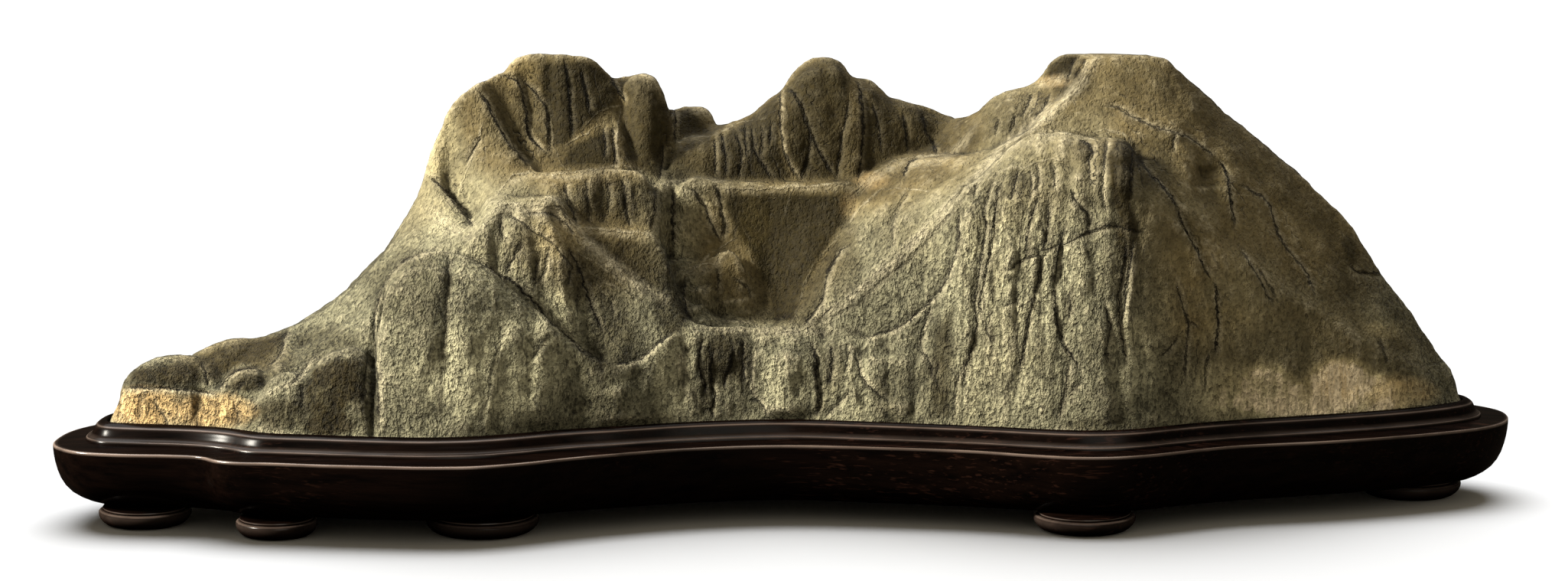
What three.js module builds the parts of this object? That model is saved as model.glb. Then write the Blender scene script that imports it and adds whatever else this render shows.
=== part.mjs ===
// A mountain-landscape viewing stone resting in its carved wooden stand.
// Millimetres, +Z up, the long side along X, the viewer at -Y.
import * as THREE from "three";

// Driving sizes
const stoneBottom = 25.6;        // flat underside of the stone
const rimHeight = 29.4;          // where the stone comes out of the stand
const reliefStep = 0.8;          // cell of the height map that the ridges are stretched over
const facePressure = 0.05;       // how far the faces between two ridges swell
const stonePoints = 2380;        // corners of the faceted upper surface
const fitGap = 0.45;             // clear space between touching pieces
const standBottom = 6;           // underside of the stand's bowl
const recessDepth = 25.2;        // floor that the stone sits on
const footHeight = 5.7;          // pads under the stand
const startHeight = 70;          // first guess for the free cells of the height map
const frontFootEnd = 207;        // x where the front foot of the stone turns round the right end
const leastRise = 0.4;           // the upper surface stays this far above the rim
const steepest = 5;              // largest share by which a steep face deepens a groove
const settlePasses = 700;
const settleGain = 1.85;
const rimPoints = 150;
const rimGuard = 2.2;            // no surface corner nearer to the rim than this
const pointGap = 0.9;            // nor nearer to another corner than this
const placesPerSide = 7;
const batchShare = 0.06;
const smallestBatch = 12;
const standCorners = 96;
const innerCorners = 480;
const footSides = 20;

const wood = { color: 0x2a1712, roughness: 0.32, metalness: 0 };
const rock = { color: 0x7d7854, roughness: 0.86, metalness: 0 };

// Where the stone comes out of the stand, counter-clockwise from the left end.
const stoneLine = [
  [-208.1, -29.5], [-206.4, -36], [-199.6, -38], [-188.3, -40], [-177.1, -42], [-166.8, -47.2],
  [-157.1, -53.6], [-145.4, -55.6], [-134, -57.7], [-123.1, -59.6], [-108.5, -60.6], [-94.3, -58.6],
  [-79.6, -52.7], [-68.4, -47.6], [-54.6, -43.6], [-31.7, -35.9], [-2.7, -31.4], [27.7, -36.4],
  [57.5, -42.8], [77.3, -48], [89.3, -49.6], [102.3, -47.4], [117.3, -39.8], [133.5, -33], [157.3, -25],
  [181.6, -16.4], [197.3, -8.6], [207.8, 0.4], [208.1, 8], [200.3, 17], [181.3, 27.5], [153.3, 39],
  [119.3, 49.5], [81.3, 56.5], [41.3, 60], [-0.7, 60.6], [-42.7, 58], [-80.7, 52], [-114.7, 42.5],
  [-144.7, 29.5], [-172.7, 12], [-194.7, -6], [-205.7, -20],
];

// The outer edge of the stand, the same way round.
const standLine = [
  [-224.4, -29.5], [-223.7, -42], [-215.4, -52.6], [-201.1, -57.1], [-186.3, -58.3], [-176.9, -60.6],
  [-171.6, -66.2], [-164.4, -69.5], [-155.3, -70.2], [-140, -73], [-125, -74.8], [-109.8, -76.4],
  [-102.6, -76.4], [-93.2, -75.5], [-78.7, -69.7], [-67.7, -63.3], [-54.1, -56.7], [-31.4, -47.6],
  [-2.7, -42.8], [27.5, -46], [54.2, -51.2], [71.9, -57.7], [86.5, -61.2], [101.7, -59.5], [132.9, -44],
  [163.1, -36], [183.4, -28.9], [199.9, -21.6], [213.8, -13.5], [221.3, -4.5], [224.3, 5], [222.5, 17],
  [211, 30], [190, 42], [160, 54.5], [124, 65.4], [84, 72.6], [44, 76.2], [2, 76.4], [-42, 74], [-82, 68],
  [-118, 57.5], [-151, 43.5], [-181, 24.5], [-205, 4], [-220.3, -15],
];

// Ridges, ledges and valley lines of the stone as x, y, z.
const ridges = {
  // front left dome with its long falling crest
  domeCrest: [[-123, -47, 58], [-122.5, -46, 68], [-120, -45, 77], [-116, -45, 82], [-111, -45, 84.5],
    [-104, -44, 84.5], [-98.5, -43, 83], [-91, -42.5, 79], [-77.5, -42.5, 66], [-63.5, -42.5, 54.5],
    [-54.5, -41, 48.5]],
  domeBack: [[-122, -39, 66], [-119, -38.5, 73], [-113, -38, 78.5], [-99.5, -38, 80.5], [-91.5, -39, 76],
    [-77.5, -39, 63], [-58, -38.5, 48]],
  // ribbed pyramid behind the dome
  pyramidCrest: [[-97.5, -37, 84.5], [-92.5, -33, 93.5], [-89, -31, 96], [-74, -29, 95], [-69, -29, 92],
    [-57, -28, 79], [-43.5, -28, 68.5], [-33.5, -27, 63.5]],
  pyramidLedge: [[-92, -28, 97], [-78, -26, 97.5], [-71, -25, 96], [-63, -25, 87], [-43.5, -25, 69.5]],
  // two shelves left of the basin
  upperShelf: [[-93, -23, 96.5], [-86.5, -16, 102], [-73.5, -13, 104], [-57.5, -13, 106],
    [-47, -13, 104.5], [-43.5, -13, 101], [-40, -14, 88], [-38.5, -15, 80.5]],
  upperShelfFoot: [[-85.5, -22, 97.5], [-70.5, -19, 96], [-57.5, -18, 89], [-43, -18, 87.5]],
  lowerShelf: [[-67, -23, 89], [-46, -21, 86.5], [-41, -21, 84.5], [-36.5, -23, 72], [-35, -24, 65]],
  // low wall in front of the basin
  frontWall: [[-54.5, -42, 48.5], [-48, -38, 50.5], [-38.5, -34, 57], [-34, -31, 59], [-18, -26, 58],
    [5.5, -24, 56], [24, -27, 55]],
  basinFloor: [[-30.5, -24, 58], [-18, -20, 56], [-8.5, -18, 55]],
  basinFloorBack: [[-34, -16, 63.5], [-25, -12, 60], [-6, -11, 58], [-1.5, -15, 58.5]],
  lump: [[-33, -12, 73.5], [-28, -11, 76], [-22.5, -10, 80], [-18.5, -9, 82], [-16, -9, 79]],
  // cliff behind the basin with its flat top
  basinCliff: [[-42, -6, 98.5], [-31, -4, 100.5], [-20, -3, 98.5], [5.5, -1, 98.5], [22, 0, 98.5]],
  basinCliffFoot: [[-37, -9, 76], [-32, -8, 77], [-14.5, -7, 72], [-8.5, -7, 60.5], [-2, -11, 61]],
  plateau: [[-40, -1, 99.5], [-31, 4, 101], [-20, 5, 99], [5.5, 7, 99], [20, 8, 99.5], [27, 12, 103.5],
    [39, 17, 106], [46, 19, 108]],
  // left peaks
  leftSkyline: [[-155, -14, 55.5], [-147, -12, 58.5], [-137.5, -11, 65.5], [-130, -10, 72.5],
    [-124, -9, 81], [-117.5, -8, 91.5], [-113, -7, 101], [-110.5, -6, 110], [-106.5, -5, 122],
    [-102, -4, 127.5], [-97.5, -3, 129.5]],
  lowerButtress: [[-112, -8, 100.5], [-105, -14, 96], [-100.5, -20, 91.5], [-97.5, -27, 88]],
  lowerButtressBack: [[-106, -8, 95.5], [-101, -13, 91], [-97.5, -19, 87.5]],
  upperButtress: [[-97.5, -3, 129.5], [-93, -4, 124.5], [-89.5, -5, 116.5], [-83.5, -8, 108.5],
    [-78, -11, 104]],
  secondLobe: [[-97.5, -3, 129.5], [-95.5, -0.5, 130.6], [-93.5, 2, 131.4], [-90, 3, 132.7],
    [-85, 3, 131.5]],
  buttressValley: [[-90.5, -2, 118], [-86.5, -3, 111.5], [-81, -6, 105]],
  lobeCrack: [[-83.5, 4, 130], [-81.5, 2, 122.5], [-79.5, -1, 115], [-70, -7, 105]],
  leftSummit: [[-88.5, 5, 133], [-86, 6, 136.5], [-81, 7, 138], [-63, 9, 137], [-59, 10, 134.5],
    [-56, 11, 130.5]],
  leftSummitBack: [[-84.5, 13, 135], [-71, 17, 135.5], [-63.5, 18, 134]],
  leftKnob: [[-56, 15, 130], [-47.5, 18, 131], [-43, 18, 127.5], [-37.5, 20, 120.5]],
  farKnob: [[-38, 27, 119], [-33, 29, 119.5], [-29, 29, 117], [-25, 29, 111]],
  middleRib: [[-68.5, -3, 111], [-63, 0, 115.5], [-57, 4, 118], [-52, 7, 119.5]],
  leftPeakFoot: [[-78, -9, 101.5], [-65, -8.5, 102.5], [-52, -7, 103], [-42, -4, 98]],
  // centre peak and the ridge to its right
  centreCrest: [[-41.5, 13, 108.5], [-32.5, 16, 110.5], [-26.5, 18, 112.5], [-16.5, 20, 116],
    [-10, 21, 120], [-2.5, 22, 127], [2, 23, 133], [6.5, 24, 136], [14.5, 24, 135.5], [18.5, 25, 129.5],
    [24.5, 26, 128.5], [30, 27, 123], [40.5, 28, 120.5], [52, 28, 116]],
  // right mountain
  rightSkyline: [[51.5, 24, 116.5], [57.5, 17, 118.5], [62.5, 14, 124], [67, 12, 126.5], [75, 10, 128],
    [79, 5, 135.5], [83.5, 3, 138.5], [89.5, 1, 139], [105, -1, 139], [115, 0, 138], [120.5, 1, 132],
    [130, 2, 123], [145.5, 3, 110], [161.5, 4, 97.5], [171, 4, 88.5], [179, 4, 77.5], [183.5, 4, 69.5],
    [193, 3, 58.5], [199.5, 3, 48.5], [206, 2, 40]],
  rightSummitBack: [[84.5, 14, 135.5], [110.5, 16, 135.5], [120, 16, 130], [149, 17, 105.5],
    [166, 16, 91]],
  arete: [[94, -2, 138], [91, -5, 134.5], [81.5, -11, 125], [73, -14, 117.5], [59, -18, 105.5],
    [46, -21, 93], [39, -22, 87], [19.5, -24, 69.5], [5.5, -24, 59.5], [-0.5, -24, 57]],
  tanLedge: [[22, 1, 98.5], [26, 4, 102], [30.5, 6, 104.5], [49.5, 9, 107]],
  slopeFoot: [[22, 0, 98], [16, -5, 87], [5, -13, 69], [0, -18, 60.5]],
  subPeakFoot: [[46.5, 12, 106.5], [55.5, 4, 106.5], [64.5, -4, 111], [72.5, -8, 117]],
  notch: [[74.5, 6, 127], [79, -4, 124], [83.5, -5, 127]],
  // fluted cliff in front of the right mountain, and the slope to the right end
  shoulder: [[57.5, -21, 103.5], [63.5, -22, 110], [71.5, -22, 117], [80.5, -23, 118], [91, -24, 116],
    [100.5, -25, 116], [103.5, -26, 111.5], [107, -27, 105]],
  cliffTop: [[49, -26, 95.5], [52, -27, 101], [67.5, -29, 108], [84, -30, 112], [93, -30, 114.5],
    [100.5, -31, 114], [103, -32, 108.5]],
  lowerSlope: [[104, -32, 107.5], [111, -31, 101], [119, -29, 95], [129, -26, 88], [141, -22, 79],
    [160, -17, 65], [180, -11, 52], [196, -6, 42]],
  shoulderBack: [[66, -18, 113], [72, -17.5, 114.8], [81, -17, 115.5], [91, -17.5, 114],
    [100, -18.5, 113.5], [106, -21, 107.5]],
  shoulderCrack: [[106, -28, 107], [114, -29, 98], [117.5, -30, 88], [123, -32, 76], [127, -34, 60]],
  wallCrease: [[17, -28, 55], [28.5, -29, 56.5], [38, -30, 60], [46, -30, 66.5]],
  // foothills at the left end
  bandEdge: [[-203.5, -31.5, 39], [-201.5, -34.5, 41], [-193, -36.5, 42], [-180, -38.5, 41.5],
    [-171, -41, 40.5], [-166.5, -43.5, 39]],
  bandLedge: [[-199, -31, 42], [-192, -34, 42.5], [-176, -37, 41.5], [-168, -40, 40.5]],
  backLump: [[-184, -24, 47.5], [-175, -20, 52], [-162, -16, 54], [-155, -14, 55.5]],
  hollow: [[-184, -31, 42.5], [-174, -33, 42.5], [-160, -41, 42], [-150, -43, 46], [-140, -43, 49],
    [-127, -45, 50]],
  slopeLeft: [[-150, -28, 52], [-140, -30, 57], [-130, -32, 64], [-122, -34, 72]],
  // spurs down the far side
  spurA: [[-162, -16, 54], [-164, -2, 46], [-166, 8, 36]],
  spurB: [[-117.5, -8, 91.5], [-122, 8, 78], [-127, 22, 58], [-130, 31, 38]],
  spurC: [[-84.5, 13, 135], [-92, 24, 108], [-97, 35, 78], [-100, 43, 44]],
  spurD: [[-63.5, 18, 134], [-62, 32, 100], [-60, 45, 70], [-61, 52, 42]],
  spurE: [[-33, 29, 119.5], [-29, 40, 92], [-24, 51, 60], [-22, 56, 40]],
  spurF: [[8, 24, 136], [8, 36, 104], [12, 47, 78], [14, 56, 46]],
  spurG: [[40.5, 28, 120.5], [45, 38, 94], [50, 50, 60], [52, 56, 38]],
  spurH: [[84.5, 14, 135.5], [84, 28, 106], [88, 40, 78], [90, 51, 44]],
  spurI: [[120, 16, 130], [124, 28, 100], [126, 38, 68], [127, 45, 40]],
  spurJ: [[166, 16, 91], [168, 24, 62], [169, 30, 40]],
};

// Faces that swell like worn rock, each from a lower line up to an upper one. "foot" is the stone's
// front foot.
const swollenFaces = [
  ["foot", "domeCrest"], ["foot", "frontWall"], ["foot", "cliffTop"], ["foot", "lowerSlope"],
  ["domeBack", "pyramidCrest"], ["plateau", "centreCrest"], ["subPeakFoot", "rightSkyline"],
];
const swellShape = [[0.12, 0.42], [0.3, 0.7], [0.58, 0.91]];

// Rounded masses: centre x and y, top, half sizes along x, y and z, then how full the cap is.
const boulders = [
  [-187, -28, 50, 18, 13, 13, 2], [-168.5, -19, 53.6, 20, 13, 15, 2], [-165, -39, 47.8, 8.5, 7, 8, 2],
  [-154, -38, 49, 6.5, 6, 7, 2], [-134, -46.5, 55.5, 15, 11, 22, 2], [-150, -47, 48.5, 12, 8, 16, 2],
  [-161, -44.5, 42.5, 7, 5, 10, 2], [-46.5, 12, 131, 10.5, 10, 28, 2.8], [-31.5, 26, 119.5, 8, 8, 14, 3],
];

// Flutes and gullies cut into the faces: half width, depth, then their line in plan.
const grooves = [
  // cliff flutes
  [3.5, 1.3, [50, -30], [47, -38]], [4, 1.5, [58, -32], [54, -42]], [3, 1.1, [63, -33], [61, -43]],
  [4, 1.5, [70, -33], [67, -45]], [3.5, 1.2, [76, -34], [76, -44]], [4, 1.6, [83, -34], [80, -47]],
  [3, 1.1, [89, -35], [90, -48]], [4, 1.5, [96, -35], [98, -49]], [3, 1.1, [102, -37], [104, -47]],
  [3.5, 1.2, [39, -27], [36, -37]], [4.5, 1.6, [28, -28], [30, -36]],
  // clefts of the dome and of the low wall
  [5, 2.2, [-102, -47], [-102.5, -52], [-104, -60]], [4.5, 1.7, [-91.5, -47], [-93, -58]],
  [4, 1.3, [-78, -46], [-80, -54]], [4, 1.3, [-66, -45], [-68, -48]], [4.5, 1.7, [-46, -38], [-50, -43]],
  [4, 1.7, [-33, -32], [-32, -38]], [4, 1.4, [-13, -28], [-14, -34]], [4, 1.6, [9, -27], [8, -33]],
  [4, 1.4, [21, -29], [22, -36]],
  // ribs of the pyramid
  [4, 2.2, [-80, -30], [-77, -36], [-69, -42]], [3.5, 1.8, [-73, -29], [-58, -39]], [4, 2, [-85, -31],
  [-90, -38]],
  // cracks of the peaks
  [4, 2.6, [-39, -14], [-37, -5], [-33, 1]], [3.5, 0.8, [-75.5, 7], [-73, -5]], [3.5, 2.2, [-52.5, 8],
  [-49, 0]], [4, 2.6, [-38, 22], [-40, 4]], [4, 1.8, [-4, 20], [5, 9]], [4, 1.6, [7, 20], [15, 9]],
  [4, 2, [20, 23], [24, 11]], [4, 1.8, [30, 25], [34, 17]], [4, 1.8, [-14, 18], [-12, 8]],
  [4, 1.6, [-27, 16], [-25, 7]],
  // gullies of the right slope
  [7, 0.8, [122, -12], [134, -26]], [6, 0.8, [140, -2], [152, -16], [158, -26]], [5, 0.8, [168, -4],
  [178, -18]], [4, 1.2, [60, -10], [40, -12], [24, -14]],
  // foothills
  [4, 4, [-125, -57], [-125.5, -46], [-124, -38]], [4, 1.6, [-178, -46], [-180, -36]],
  [4, 1.6, [-190, -44], [-191, -34]],
  // far side
  [8, 4, [-74, 22], [-79, 34], [-77, 50]], [6, 3.4, [-48, 30], [-44, 42], [-47, 56]], [9, 4.4, [-12, 30],
  [-9, 42], [-2, 58]], [6, 3, [24, 36], [31, 46], [29, 59]], [9, 4, [63, 24], [66, 38], [74, 57]],
  [7, 3.6, [101, 22], [108, 36], [106, 52]], [7, 3, [138, 20], [148, 30], [150, 40]], [7, 3, [-106, 4],
  [-112, 20], [-111, 40]], [6, 2.6, [-140, -4], [-146, 12], [-151, 24]],
];

// A smooth closed curve through the given plan points.
function closedLine(points, count) {
  const curve = new THREE.CatmullRomCurve3(points.map(([x, y]) => new THREE.Vector3(x, y, 0)), true);
  return curve.getSpacedPoints(count).slice(0, count).map((p) => [p.x, p.y]);
}

function insideLine(line, x, y) {
  let inside = false;
  for (let i = 0, j = line.length - 1; i < line.length; j = i++) {
    const [xi, yi] = line[i];
    const [xj, yj] = line[j];
    if (yi > y !== yj > y && x < ((xj - xi) * (y - yi)) / (yj - yi) + xi) inside = !inside;
  }
  return inside;
}

function distanceToPath(path, x, y) {
  let best = Infinity;
  for (let i = 1; i < path.length; i++) {
    const [ax, ay] = path[i - 1];
    const dx = path[i][0] - ax;
    const dy = path[i][1] - ay;
    const t = Math.min(1, Math.max(0, ((x - ax) * dx + (y - ay) * dy) / (dx * dx + dy * dy)));
    best = Math.min(best, Math.hypot(x - ax - t * dx, y - ay - t * dy));
  }
  return best;
}

// The stone as heights over the plan: a skin held at the rim and over every ridge line.
function makeRelief(rim) {
  const x0 = Math.min(...rim.map((p) => p[0])) - 2 * reliefStep;
  const y0 = Math.min(...rim.map((p) => p[1])) - 2 * reliefStep;
  const nx = Math.ceil((Math.max(...rim.map((p) => p[0])) - x0) / reliefStep) + 3;
  const ny = Math.ceil((Math.max(...rim.map((p) => p[1])) - y0) / reliefStep) + 3;
  const height = new Float64Array(nx * ny).fill(rimHeight);
  const held = new Uint8Array(nx * ny);
  for (let j = 0; j < ny; j++) {
    for (let i = 0; i < nx; i++) {
      held[j * nx + i] = insideLine(rim, x0 + i * reliefStep, y0 + j * reliefStep) ? 0 : 1;
      if (!held[j * nx + i]) height[j * nx + i] = startHeight;
    }
  }
  const frontFoot = stoneLine.slice(0, stoneLine.findIndex(([x]) => x > frontFootEnd))
    .map(([x, y]) => [x, y, rimHeight]);
  for (const line of [...swellingLines(frontFoot), ...Object.values(ridges)]) {
    for (let k = 1; k < line.length; k++) {
      const a = line[k - 1];
      const b = line[k];
      const dots = Math.ceil(Math.hypot(b[0] - a[0], b[1] - a[1]) / (0.5 * reliefStep));
      for (let s = 0; s <= dots; s++) {
        const t = s / dots;
        const i = Math.round((a[0] + (b[0] - a[0]) * t - x0) / reliefStep);
        const j = Math.round((a[1] + (b[1] - a[1]) * t - y0) / reliefStep);
        if (held[j * nx + i] === 1) continue;
        held[j * nx + i] = 2;
        height[j * nx + i] = a[2] + (b[2] - a[2]) * t;
      }
    }
  }
  relax(height, held, nx, ny);
  for (const [cx, cy, top, rx, ry, rz, fullness] of boulders) {
    for (let j = 1; j < ny - 1; j++) {
      for (let i = 1; i < nx - 1; i++) {
        const c = j * nx + i;
        const far = Math.hypot((x0 + i * reliefStep - cx) / rx, (y0 + j * reliefStep - cy) / ry);
        if (far >= 1 || held[c] === 1) continue;
        height[c] = Math.max(height[c], top - rz + rz * Math.sqrt(1 - far ** fullness));
      }
    }
  }
  const span = 4 * reliefStep;
  const lean = height.map((h, c) => {
    if (held[c] === 1) return 1;
    const riseX = (height[c + 2] - height[c - 2]) / span;
    const riseY = (height[c + 2 * nx] - height[c - 2 * nx]) / span;
    return Math.min(steepest, Math.hypot(1, riseX, riseY));
  });
  for (const [halfWidth, depth, ...path] of grooves) {
    for (let j = 1; j < ny - 1; j++) {
      for (let i = 1; i < nx - 1; i++) {
        const c = j * nx + i;
        if (held[c] === 1) continue;
        const d = distanceToPath(path, x0 + i * reliefStep, y0 + j * reliefStep) / halfWidth;
        if (d >= 1) continue;
        height[c] = Math.max(rimHeight + leastRise, height[c] - lean[c] * depth * (1 - d) ** 2);
      }
    }
  }
  return { x0, y0, nx, ny, height: soften(soften(height, held, nx), held, nx) };
}

// Takes the stair steps of the cells off the ridges.
function soften(height, held, nx) {
  return height.map((h, c) => (held[c] === 1 ? h : 0.4 * h
    + 0.15 * (height[c - 1] + height[c + 1] + height[c - nx] + height[c + nx])));
}

// The y and z of a line where it crosses x, or null beside it.
function crossing(line, x) {
  for (let k = 1; k < line.length; k++) {
    const [a, b] = [line[k - 1], line[k]];
    if ((a[0] - x) * (b[0] - x) > 0 || a[0] === b[0]) continue;
    const t = (x - a[0]) / (b[0] - a[0]);
    return [a[1] + (b[1] - a[1]) * t, a[2] + (b[2] - a[2]) * t];
  }
  return null;
}

// Lines between a lower and an upper one that give their face its swelling.
function swellingLines(frontFoot) {
  const lines = [];
  for (const [low, high] of swollenFaces) {
    const lower = low === "foot" ? frontFoot : ridges[low];
    for (const [across, up] of swellShape) {
      const line = [];
      for (const [x, y, z] of ridges[high]) {
        const start = crossing(lower, x);
        if (start) line.push([x, start[0] + (y - start[0]) * across, start[1] + (z - start[1]) * up]);
      }
      lines.push(line);
    }
  }
  return lines;
}

// Every free cell settles at the mean of its neighbours, raised a little by the pressure.
function relax(height, held, nx, ny) {
  const lift = 0.25 * facePressure * reliefStep * reliefStep;
  for (let pass = 0; pass < settlePasses; pass++) {
    for (let j = 1; j < ny - 1; j++) {
      for (let i = 1; i < nx - 1; i++) {
        const c = j * nx + i;
        if (held[c]) continue;
        const mean = 0.25 * (height[c - 1] + height[c + 1] + height[c - nx] + height[c + nx]) + lift;
        height[c] += settleGain * (mean - height[c]);
      }
    }
  }
}

function heightAt(relief, x, y) {
  const u = (x - relief.x0) / reliefStep;
  const v = (y - relief.y0) / reliefStep;
  const i = Math.min(relief.nx - 2, Math.max(0, Math.floor(u)));
  const j = Math.min(relief.ny - 2, Math.max(0, Math.floor(v)));
  const a = u - i;
  const b = v - j;
  const h = relief.height;
  const c = j * relief.nx + i;
  return (1 - b) * ((1 - a) * h[c] + a * h[c + 1])
    + b * ((1 - a) * h[c + relief.nx] + a * h[c + relief.nx + 1]);
}

// Joins plan points into triangles so that no triangle's circle holds another point.
class PlanMesh {
  constructor(points) {
    this.points = [[-3000, -3000], [3000, -3000], [0, 4000]];
    this.triangles = new Set();
    this.makeTriangle(0, 1, 2);
    points.forEach((p) => this.insert(p));
  }

  makeTriangle(a, b, c) {
    const [ax, ay] = this.points[a];
    const [bx, by] = this.points[b];
    const [cx, cy] = this.points[c];
    const d = 2 * (ax * (by - cy) + bx * (cy - ay) + cx * (ay - by));
    const aa = ax * ax + ay * ay;
    const bb = bx * bx + by * by;
    const cc = cx * cx + cy * cy;
    const x = (aa * (by - cy) + bb * (cy - ay) + cc * (ay - by)) / d;
    const y = (aa * (cx - bx) + bb * (ax - cx) + cc * (bx - ax)) / d;
    const triangle = { corners: [a, b, c], x, y, r2: (ax - x) ** 2 + (ay - y) ** 2, fresh: true };
    this.triangles.add(triangle);
  }

  insert(point) {
    const index = this.points.push(point) - 1;
    const edges = new Map();
    for (const t of this.triangles) {
      if ((point[0] - t.x) ** 2 + (point[1] - t.y) ** 2 >= t.r2 - 1e-7) continue;
      this.triangles.delete(t);
      for (let k = 0; k < 3; k++) {
        const a = t.corners[k];
        const b = t.corners[(k + 1) % 3];
        if (!edges.delete(`${b},${a}`)) edges.set(`${a},${b}`, [a, b]);
      }
    }
    for (const [a, b] of edges.values()) this.makeTriangle(a, b, index);
  }
}

// The place in a triangle where its flat face is furthest from the relief.
function worstPlace(mesh, triangle, relief, rim) {
  const corners = triangle.corners.map((k) => mesh.points[k]);
  const h = corners.map(([x, y], k) => (
    triangle.corners[k] < rim.length + 3 ? rimHeight : heightAt(relief, x, y)));
  const [[ax, ay], [bx, by], [cx, cy]] = corners;
  const area = (bx - ax) * (cy - ay) - (cx - ax) * (by - ay);
  const slopeX = ((h[1] - h[0]) * (cy - ay) - (h[2] - h[0]) * (by - ay)) / area;
  const slopeY = ((h[2] - h[0]) * (bx - ax) - (h[1] - h[0]) * (cx - ax)) / area;
  const lean = Math.sqrt(1 + 0.5 * (slopeX * slopeX + slopeY * slopeY));
  let worst = { miss: 0 };
  for (let i = 1; i < placesPerSide; i++) {
    for (let j = 1; j < placesPerSide - i; j++) {
      const u = i / placesPerSide;
      const v = j / placesPerSide;
      const x = ax + u * (bx - ax) + v * (cx - ax);
      const y = ay + u * (by - ay) + v * (cy - ay);
      const flat = h[0] + u * (h[1] - h[0]) + v * (h[2] - h[0]);
      const miss = Math.abs(heightAt(relief, x, y) - flat) / lean;
      if (miss > worst.miss) worst = { miss, x, y };
    }
  }
  return worst;
}

// True where a new corner would lie outside the rim, or too near to it or to another corner.
function isCrowded(mesh, rim, { x, y }) {
  if (!insideLine(rim, x, y) || distanceToPath([...rim, rim[0]], x, y) < rimGuard) return true;
  return mesh.points.some(([px, py]) => Math.hypot(px - x, py - y) < pointGap);
}

function makeStone() {
  const rim = closedLine(stoneLine, rimPoints);
  const relief = makeRelief(rim);
  const mesh = new PlanMesh(rim);
  while (mesh.points.length < stonePoints) {
    const wanted = [];
    for (const t of mesh.triangles) {
      if (t.corners.some((k) => k < 3)) continue;
      if (t.fresh) {
        t.worst = worstPlace(mesh, t, relief, rim);
        if (t.worst.miss > 0 && isCrowded(mesh, rim, t.worst)) t.worst.miss = 0;
        t.fresh = false;
      }
      if (t.worst.miss > 0) wanted.push(t.worst);
    }
    wanted.sort((a, b) => b.miss - a.miss);
    const batch = wanted.slice(0, Math.max(smallestBatch, Math.round(wanted.length * batchShare)));
    let added = 0;
    for (const place of batch) {
      if (mesh.points.length >= stonePoints) break;
      if (isCrowded(mesh, rim, place)) continue;
      mesh.insert([place.x, place.y]);
      added++;
    }
    if (!added) break;
  }
  return closeStone(mesh, relief, rim);
}

// Upper surface, a short upright wall down into the stand, and a flat underside.
function closeStone(mesh, relief, rim) {
  const n = rim.length;
  const vertices = rim.map(([x, y]) => [x, y, rimHeight]);
  for (let k = n + 3; k < mesh.points.length; k++) {
    const [x, y] = mesh.points[k];
    vertices.push([x, y, Math.max(rimHeight + leastRise, heightAt(relief, x, y))]);
  }
  const faces = [];
  for (const { corners } of mesh.triangles) {
    if (corners.some((k) => k < 3)) continue;
    const [a, b, c] = corners.map((k) => mesh.points[k]);
    if (!insideLine(rim, (a[0] + b[0] + c[0]) / 3, (a[1] + b[1] + c[1]) / 3)) continue;
    const [i, j, k] = corners.map((m) => m - 3);
    faces.push(turnsLeft(a, b, c) ? [i, j, k] : [i, k, j]);
  }
  const low = vertices.length;
  rim.forEach(([x, y]) => vertices.push([x, y, stoneBottom]));
  for (let k = 0; k < n; k++) {
    const m = (k + 1) % n;
    faces.push([k, low + k, low + m], [k, low + m, m]);
  }
  const flat = THREE.ShapeUtils.triangulateShape(rim.map(([x, y]) => new THREE.Vector2(x, y)), []);
  flat.forEach(([a, b, c]) => {
    const under = turnsLeft(rim[a], rim[b], rim[c]) ? [a, c, b] : [a, b, c];
    faces.push(under.map((k) => low + k));
  });
  return toGeometry(vertices, faces);
}

function turnsLeft(a, b, c) {
  return (b[0] - a[0]) * (c[1] - a[1]) > (c[0] - a[0]) * (b[1] - a[1]);
}

function toGeometry(vertices, faces) {
  const geometry = new THREE.BufferGeometry();
  geometry.setAttribute("position", new THREE.Float32BufferAttribute(vertices.flat(), 3));
  geometry.setIndex(faces.flat());
  const loose = geometry.toNonIndexed();
  loose.computeVertexNormals();
  return loose;
}

// Rings of the stand: share of the way from the stone line to the outer edge, offset, height.
const standProfile = [
  [0, fitGap, recessDepth], [0, fitGap, 29.2], [0.07, 0.3, 30], [0.22, 0.3, 29.6], [0.33, 0.2, 28.4],
  [0.36, 0, 26.2], [0.45, 0, 25.2], [0.92, 0, 24.6], [1, -0.2, 24.2], [1, -0.6, 23], [0.98, -0.7, 19.2],
  [0.9, -0.8, 14.4], [0.71, -0.7, 10], [0.42, -0.4, 7.2], [0.16, 0, standBottom],
];

function makeStand() {
  const count = standCorners;
  const inner = closedLine(stoneLine, innerCorners);
  const outer = closedLine(standLine, count);
  const nearest = outer.map(([x, y]) => inner.reduce((best, p) => (
    Math.hypot(p[0] - x, p[1] - y) < Math.hypot(best[0] - x, best[1] - y) ? p : best)));
  const vertices = [];
  for (const [share, offset, z] of standProfile) {
    outer.forEach(([x, y], k) => {
      const [sx, sy] = nearest[k];
      const run = Math.hypot(x - sx, y - sy);
      const t = share + offset / run;
      vertices.push([sx + (x - sx) * t, sy + (y - sy) * t, z]);
    });
  }
  const rings = standProfile.length;
  const faces = [];
  for (let r = 0; r < rings - 1; r++) {
    for (let k = 0; k < count; k++) {
      const m = (k + 1) % count;
      const a = r * count;
      const b = a + count;
      faces.push([a + k, b + k, b + m], [a + k, b + m, a + m]);
    }
  }
  addCap(vertices, faces, 0, count, true);
  addCap(vertices, faces, (rings - 1) * count, count, false);
  return toGeometry(vertices, faces);
}

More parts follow.
